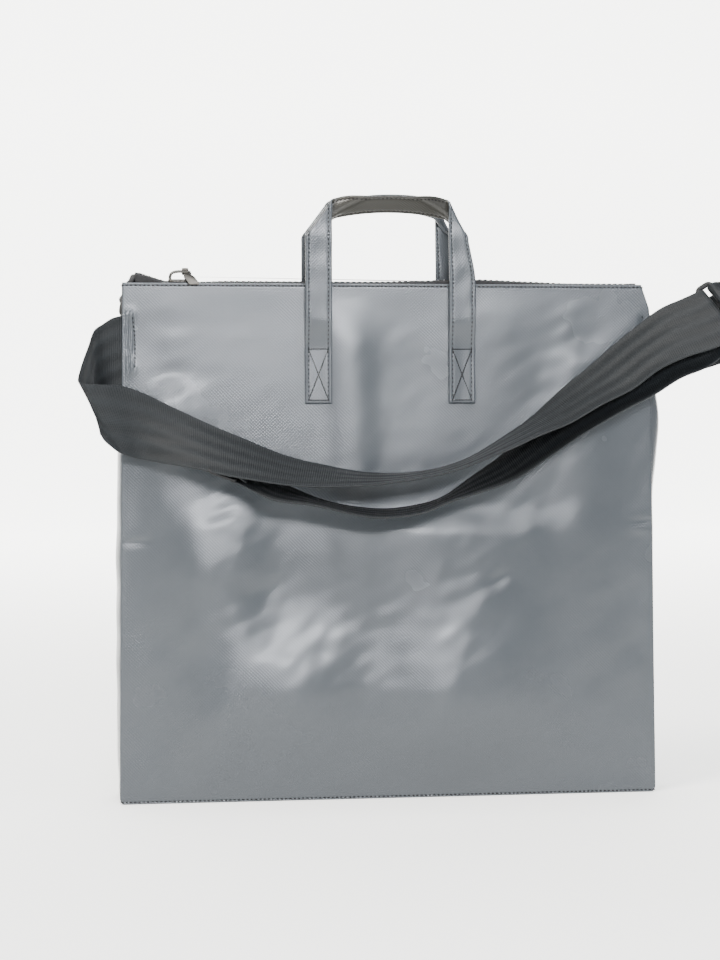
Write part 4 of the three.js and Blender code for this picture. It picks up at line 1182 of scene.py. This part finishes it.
class TOTE_OT_zipper(bpy.types.Operator):
    """Makes the zipper: tapes, two rows of moulded teeth, stops and folded tape ends"""
    bl_idname = "tote.zipper"
    bl_label = "Zipper"

    def execute(self, context):
        zipper = context.scene.tote_bag_zipper
        cloth = zipper_tape_material()
        black = moulded_material("moulded_acetal_teeth", "0f0f11", 0.36, 0.0012)
        x = np.linspace(-183.7, 183.7, 260)
        for side, facing in (("front", -1), ("back", 1)):
            self.tape(side, facing, x, zipper, cloth)
            self.teeth(side, facing, zipper, black)
            self.stop("top_stop_" + side, -181.5, facing * 2.45, 3.4, zipper, black,
                      "zipper_top_stop_" + side)
        self.stop("bottom_stop", 181.5, 0.0, 8.2, zipper, black, "zipper_bottom_stop")
        self.end_tab("left", -1, zipper, cloth)
        self.end_tab("right", 1, zipper, cloth)
        return {"FINISHED"}

    def tape(self, side, facing, x, zipper, cloth):
        """The tape runs flat beside the chain, rolls over and is sewn down inside the panel."""
        outline = np.array([
            (3.4, 0.0), (4.4, 0.0), (5.4, -0.02), (6.0, -0.2), (6.3, -0.8), (6.35, -2.0), (6.35, -6.0),
            (6.35, -10.0), (6.35, -16.0)])
        level = 373.7 + chain_height(x, zipper)
        y = np.broadcast_to(outline[:, 0], (len(x), len(outline)))
        drop = outline[:, 1]
        held = np.clip(-drop / 16.0, 0, 1)
        z = level[:, None] * (1 - held) + (373.7 * held) + drop[None, :]
        wobble = 0.12 * ripple(x, x * 0, 21.0, 61 + facing)[:, None] * (1 - held)
        middle = np.stack([np.broadcast_to(x[:, None], y.shape), facing * y, z + wobble], axis=-1)
        half = np.full(y.shape, 0.33)
        run = np.broadcast_to(x[:, None], y.shape)
        piece, _, _ = sheet_object(
            "zipper_tape_" + side + "_cloth", middle, half, half, y, run, [cloth])
        finish_piece(piece, "shell", "zipper_tape", "zipper_tape_" + side)

    def teeth(self, side, facing, zipper, black):
        """Moulded teeth: each is a block on the tape's cord whose head locks with its neighbours."""
        body = [(-0.75, 3.9), (0.75, 3.9), (0.8, 2.4), (0.95, 1.2), (0.95, -0.2), (0.6, -0.55),
                (-0.6, -0.55), (-0.95, -0.2), (-0.95, 1.2), (-0.8, 2.4)]
        outline = [(px, facing * py) for px, py in (body if facing > 0 else body[::-1])]
        tooth = prism_object("tooth", outline, 2.7, Matrix.Identity(4), black, 0.28, 1)
        phase = 0.0 if facing < 0 else zipper.pitch / MM / 2
        x = np.arange(-177.6 + phase, 177.6, 0.7)
        path = np.stack([x, np.full(len(x), facing * 0.35), 373.7 + chain_height(x, zipper)], axis=1)
        rows = along_chains("zipper_teeth_" + side + "_row", [path], tooth_tree(), {
            "Pitch": zipper.pitch, "Tooth": tooth, "Material": black})
        data = tooth.data
        bpy.data.objects.remove(tooth)
        bpy.data.meshes.remove(data)
        x = np.linspace(-178.4, 178.4, 200)
        cord = np.stack([x, np.full(len(x), facing * 3.7), 373.7 + chain_height(x, zipper)], axis=1)
        bead = swept_wire("cord", cord, (0, 1, 0), 0.75, 0.95, black, sides=10)
        piece = joined("zipper_teeth_" + side + "_moulded", [rows, bead])
        finish_piece(piece, "shell", "zipper_teeth", "zipper_teeth_" + side)

    def stop(self, name, x, y, width, zipper, black, node):
        outline = [(-2.4, -width / 2), (2.4, -width / 2), (2.4, width / 2), (-2.4, width / 2)]
        slope = chain_height(np.array([x + 1.0]), zipper)[0] - chain_height(np.array([x - 1.0]), zipper)[0]
        level = 373.7 + chain_height(np.array([x]), zipper)[0]
        place = Matrix.Translation((x, y, level)) @ Matrix.Rotation(-math.atan(slope / 2), 4, "Y")
        piece = prism_object("zipper_" + name + "_moulded", outline, 3.0, place, black, 0.6, 3)
        finish_piece(piece, "shell", "zipper_teeth", node)

    def end_tab(self, side, hand, zipper, cloth):
        """The tape's loose end, folded down over the top of the gusset."""
        top = 373.6 + chain_height(np.array([hand * 184.0]), zipper)[0]
        bulge = 10.2 if hand < 0 else 4.0
        path = np.array([
            (183.0, top), (185.2, top - 0.3), (186.8, top - 2.2), (188.5, top * 0.4 + 223),
            (187.5 + bulge * 0.5, 366), (184 + bulge, 360), (184 + bulge, 353), (184 + bulge * 0.8, 347)])
        dense = catmull_rom(np.stack([path[:, 0], path[:, 1] * 0, path[:, 1]], axis=1), np.linspace(0, 1, 40))
        share = np.linspace(-1, 1, 16)
        crumple = 0.5 * ripple(share[None, :] * 5, dense[:, 2:3], 7.0, 81 + hand)
        curl = 4.2 * np.abs(share[None, :]) ** 3
        x = hand * (dense[:, 0:1] + crumple - curl)
        y = np.broadcast_to(share[None, :] * 5.2, x.shape)
        z = np.broadcast_to(dense[:, 2:3], x.shape) + 0.3 * ripple(y, x, 6.0, 83)
        middle = np.stack([x, y, z], axis=-1)
        half = np.full(x.shape, 0.5)
        piece, _, _ = sheet_object("zipper_end_" + side + "_cloth", middle, half, half, y, z, [cloth])
        finish_piece(piece, "shell", "zipper_tape", "zipper_end_tab_" + side)


class TOTE_OT_slider(bpy.types.Operator):
    """Makes the slider, its bail and the pull"""
    bl_idname = "tote.slider"
    bl_label = "Slider and Pull"

    def execute(self, context):
        metal = gunmetal_material()
        middle = -152.0
        # The shoe: wide at its mouth, towards the open end of the chain.
        shoe = [(-8, 3.4), (-7.2, 4.9), (-5, 5.6), (-1, 5.3), (4, 4.7), (7, 4.5), (8, 3.6)]
        shoe = shoe + [(x, -y) for x, y in shoe[::-1]]
        top = prism_object("top", shoe[::-1], 1.3, Matrix.Translation((middle, 0, 375.95)), metal, 0.4, 3)
        low = prism_object("low", shoe[::-1], 1.1, Matrix.Translation((middle, 0, 371.5)), metal, 0.35, 2)
        wedge = [(-7.4, 0.5), (-3.4, 0.5), (-2.6, 0), (-3.4, -0.5), (-7.4, -0.5)]
        post = prism_object("post", wedge[::-1], 4.4, Matrix.Translation((middle, 0, 373.7)), metal, 0.15, 1)
        parts = [top, low, post]
        for facing in (-1, 1):
            path = [(middle + x, facing * (y - 0.35), 375.0) for x, y in shoe[:7]]
            parts.append(swept_wire("lip", path, (0, 0, 1), 0.75, 0.42, metal, sides=10))
        body = joined("slider_body_cast", parts)
        finish_piece(body, "zipper_slider", "gunmetal", "zipper_slider_body")
        foot = 376.7
        arch = [(-6.6, foot), (-6.5, foot + 2.2), (-5.2, foot + 4.4), (-2.2, foot + 5.4), (1.0, foot + 5.6),
                (4.4, foot + 5.6), (7.0, foot + 5.3), (7.8, foot + 4.0), (7.9, foot + 1.6), (7.9, foot)]
        path = catmull_rom([(middle + x, 0, z) for x, z in arch], np.linspace(0, 1, 60))
        bail = swept_wire("slider_bail_cast", path, (0, 1, 0), 1.3, 1.05, metal, sides=16)
        finish_piece(bail, "zipper_slider", "gunmetal", "slider_bail")
        self.pull(metal, -147.8, 382.3)
        return {"FINISHED"}

    def pull(self, metal, x, z):
        """The pull: an eye round the bail and a skewed flat tab with a shallow raised rim."""
        drop = math.radians(41)
        down = np.array([0.42, -math.cos(drop), -math.sin(drop)])
        face = np.cross([1, 0, 0], down)
        face = face / np.linalg.norm(face)
        place = Matrix((
            (1, down[0], face[0], x), (0, down[1], face[1], 0), (0, down[2], face[2], z), (0, 0, 0, 1)))
        eye_angle = np.linspace(0, 2 * math.pi, 28, endpoint=False)
        parts = []
        for shift in (-1.5, -0.5, 0.5, 1.5):
            ring = [(x + shift, 2.05 * math.cos(a), z + 2.05 * math.sin(a)) for a in eye_angle]
            parts.append(swept_wire("eye", ring, (1, 0, 0), 0.85, 0.65, metal, closed=True, sides=10))
        tab = [(-1.9, 2.2), (-3.0, 4.6), (-3.9, 6.4), (-4.0, 13.9), (-3.3, 14.9), (3.3, 14.9), (4.0, 13.9),
               (3.9, 6.4), (3.0, 4.6), (1.9, 2.2)]
        parts.append(prism_object("tab", tab, 1.2, place, metal, 0.35, 3))
        rim = [(-2.6, 7.6), (-2.6, 13.4), (2.6, 13.4), (2.6, 7.6)]
        rim = [place @ Vector((px, py, 0.52)) for px, py in rim]
        loop = []
        for a, b in zip(rim, rim[1:] + rim[:1]):
            loop.extend([tuple(a.lerp(b, s)) for s in (0.08, 0.3, 0.5, 0.7, 0.92)])
        parts.append(swept_wire("rim", loop, tuple(face), 0.35, 0.3, metal, closed=True, sides=8))
        piece = joined("pull_tab_cast", parts)
        finish_piece(piece, "zipper_pull", "gunmetal", "pull_tab")


class TOTE_OT_handles(bpy.types.Operator):
    """Makes the two carry handles: folded strips with stitch rows and boxed crosses at their ends"""
    bl_idname = "tote.handles"
    bl_label = "Carry Handles"

    def execute(self, context):
        shell, finish = settings()
        handles = context.scene.tote_bag_handles
        gloss = tarpaulin_material("pvc_coated_tarpaulin", finish.tarpaulin)
        # Only the front handle's inner face takes the dark reverse colour, as painted shade on its
        # downward-facing band; the back handle's inner face keeps the coated colour.
        reverse = tarpaulin_material("pvc_tarpaulin_reverse_painted_shade", finish.reverse, 1.6, 0.36)
        for side, facing in (("front", -1), ("back", 1)):
            middle, half, across, length, groove, end = handle_grid(facing, shell, handles)
            faces = [gloss, reverse] if facing < 0 else [gloss, gloss]
            # The sheet's own normal decides which of its faces is the coated one.
            outward = grid_normals(middle)[8, across.shape[1] // 2, 1] * facing > 0
            if not outward:
                faces = faces[::-1]
            strip, one, two = sheet_object(
                "handle_" + side + "_strip", middle, half, half, across, length, faces)
            chains = self.rows(one, across[0], groove) + self.rows(two, across[0], groove)
            coated = one if outward else two
            rows = stitch_object("rows", chains, context.scene.tote_bag_stitching, finish)
            crosses = stitch_object(
                "crosses", self.boxes(coated, across[0], length[:, across.shape[1] // 2], groove, end),
                context.scene.tote_bag_stitching, finish, 0.0017)
            stitches = joined("handle_" + side + "_stitches", [rows, crosses])
            body = "handle_" + side
            for piece, slot in ((strip, "tarpaulin"), (stitches, "thread")):
                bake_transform(piece)
            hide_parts(body + "_loop", body + "_end_left", body + "_end_right")
        return {"FINISHED"}

    def rows(self, face, across, groove):
        """A stitch row near each edge, all the way round the strip."""
        rows = []
        for t in (-groove, groove):
            column = int(np.argmin(np.abs(across - t)))
            rows.append(face[3:-3, column])
        return rows

    def boxes(self, face, across, length, groove, end):
        """The boxed cross that holds each sewn end."""
        chains = []
        for flip in (False, True):
            def at(s, t):
                row = 2 * end - s if flip else s
                return bilinear(face, length, across, row, t)
            steps = np.linspace(0, 1, 30)
            for s0, t0, s1, t1 in ((2.6, -groove, 2.6, groove), (39.5, -groove, 39.5, groove),
                                   (3.2, -groove, 39.0, groove), (3.2, groove, 39.0, -groove)):
                s = s0 + (s1 - s0) * steps
                t = t0 + (t1 - t0) * steps
                chains.append(at(s, t))
        return chains


class TOTE_OT_strap(bpy.types.Operator):
    """Makes the shoulder strap: the webbing from seam to ring and back, the ring's tab, the ring and the
    length adjuster"""
    bl_idname = "tote.strap"
    bl_label = "Shoulder Strap"

    def execute(self, context):
        strap = context.scene.tote_bag_strap
        finish = context.scene.tote_bag_finish
        web = webbing_material("woven_seat_belt_webbing", finish.webbing)
        stations = SEWN_LEFT + FOLD + FRONT_RUN + TURN + REAR_RUN + WRAP
        near, far, run = webbing_edges(stations)
        split = int(np.argmin(near[:, 0]))
        tail, _, _ = webbing_object(
            "strap_tail_webbing", near[:split + 1], far[:split + 1], run[:split + 1], strap, web, 0.3)
        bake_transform(tail)
        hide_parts("strap_sewn_end_left", "webbing_left_fold")
        main, _, _ = webbing_object(
            "strap_webbing", near[split:], far[split:], run[split:], strap, web, 0.3)
        finish_piece(main, "shoulder_strap", "webbing",
                     "webbing_front_run", "webbing_ring_turn", "webbing_rear_run")
        near, far, run = webbing_edges(TAB)
        tab, _, _ = webbing_object("ring_tab_strip", near, far, run, strap, web, 0.3, 7)
        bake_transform(tab)
        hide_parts("strap_sewn_end_right", "ring_tab_webbing")
        self.hardware()
        return {"FINISHED"}

    def loop(self, centre, bar, out, half_bar, half_out, corner):
        """A rounded rectangle in the plane of two directions."""
        points = []
        for sb, so, start in ((1, 1, 0), (-1, 1, 90), (-1, -1, 180), (1, -1, 270)):
            for step in range(7):
                a = math.radians(start + 15 * step)
                b = sb * (half_bar - corner) + corner * math.cos(a)
                o = so * (half_out - corner) + corner * math.sin(a)
                points.append(centre + bar * b + out * o)
        # Even points along the straight bars as well.
        dense = []
        for a, b in zip(points, points[1:] + points[:1]):
            dense.append(a)
            gap = np.linalg.norm(b - a)
            if gap > 4:
                dense.extend(a + (b - a) * s for s in np.linspace(0, 1, int(gap / 3) + 2)[1:-1])
        return dense

    def hardware(self):
        black = moulded_material("moulded_acetal_hardware", "0d0e0f", 0.5, 0.0009)
        ring_path = self.loop((RING_NEAR + RING_FAR) / 2, RING_BAR, RING_OUT, 28.0, 5.5, 3.0)
        ring = swept_wire("strap_ring_moulded", ring_path, RING_FACE, 1.9, 2.0, black, True, 16)
        finish_piece(ring, "shoulder_strap", "strap_hardware", "strap_ring")
        frame_path = self.loop(ADJUSTER_CENTRE, ADJUSTER_BAR, ADJUSTER_ALONG, 26.3, 10.0, 2.6)
        rim = swept_wire("rim", frame_path, ADJUSTER_BELOW, 1.15, 1.2, black, True, 14)
        bar_path = [ADJUSTER_CENTRE + ADJUSTER_BAR * s for s in np.linspace(-26.4, 26.4, 20)]
        bar = swept_wire("bar", bar_path, ADJUSTER_BELOW, 1.15, 1.2, black, False, 14)
        adjuster = joined("strap_adjuster_moulded", [rim, bar])
        finish_piece(adjuster, "shoulder_strap", "strap_hardware", "strap_adjuster")


class TOTE_PT_panel(bpy.types.Panel):
    """Lists the tote bag's sizes, finishes and building steps"""
    bl_idname = "TOTE_PT_panel"
    bl_label = "Tote Bag"
    bl_space_type = "VIEW_3D"
    bl_region_type = "UI"
    bl_category = "Tote Bag"

    def draw(self, context):
        for group, _, names in GROUPS:
            box = self.layout.box()
            for name in names:
                box.prop(getattr(context.scene, group), name)
        for operator in OPERATORS:
            self.layout.operator(operator.bl_idname)


GROUPS = (
    ("tote_bag_shell", TOTE_PG_shell, ("height", "wall", "sag", "wrinkle", "stitch_inset")),
    ("tote_bag_stitching", TOTE_PG_stitching, ("pitch", "length", "thread")),
    ("tote_bag_handles", TOTE_PG_handles, ("width", "thickness", "stitch_inset")),
    ("tote_bag_strap", TOTE_PG_strap, ("width", "thickness")),
    ("tote_bag_zipper", TOTE_PG_zipper, ("pitch", "end_rise")),
    ("tote_bag_finish", TOTE_PG_finish, ("tarpaulin", "reverse", "webbing", "thread")),
)
OPERATORS = (
    TOTE_OT_camera, TOTE_OT_panels, TOTE_OT_sides, TOTE_OT_zipper, TOTE_OT_slider, TOTE_OT_handles,
    TOTE_OT_strap,
)


def register():
    for _, group, _ in GROUPS:
        bpy.utils.register_class(group)
    for operator in OPERATORS:
        bpy.utils.register_class(operator)
    bpy.utils.register_class(TOTE_PT_panel)
    for name, group, _ in GROUPS:
        setattr(bpy.types.Scene, name, bpy.props.PointerProperty(type=group))


def unregister():
    for name, _, _ in GROUPS:
        delattr(bpy.types.Scene, name)
    bpy.utils.unregister_class(TOTE_PT_panel)
    for operator in reversed(OPERATORS):
        bpy.utils.unregister_class(operator)
    for _, group, _ in reversed(GROUPS):
        bpy.utils.unregister_class(group)


def main():
    register()
    for operator in OPERATORS:
        group, name = operator.bl_idname.split(".")
        getattr(getattr(bpy.ops, group), name)()
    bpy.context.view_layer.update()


if __name__ == "__main__":
    main()
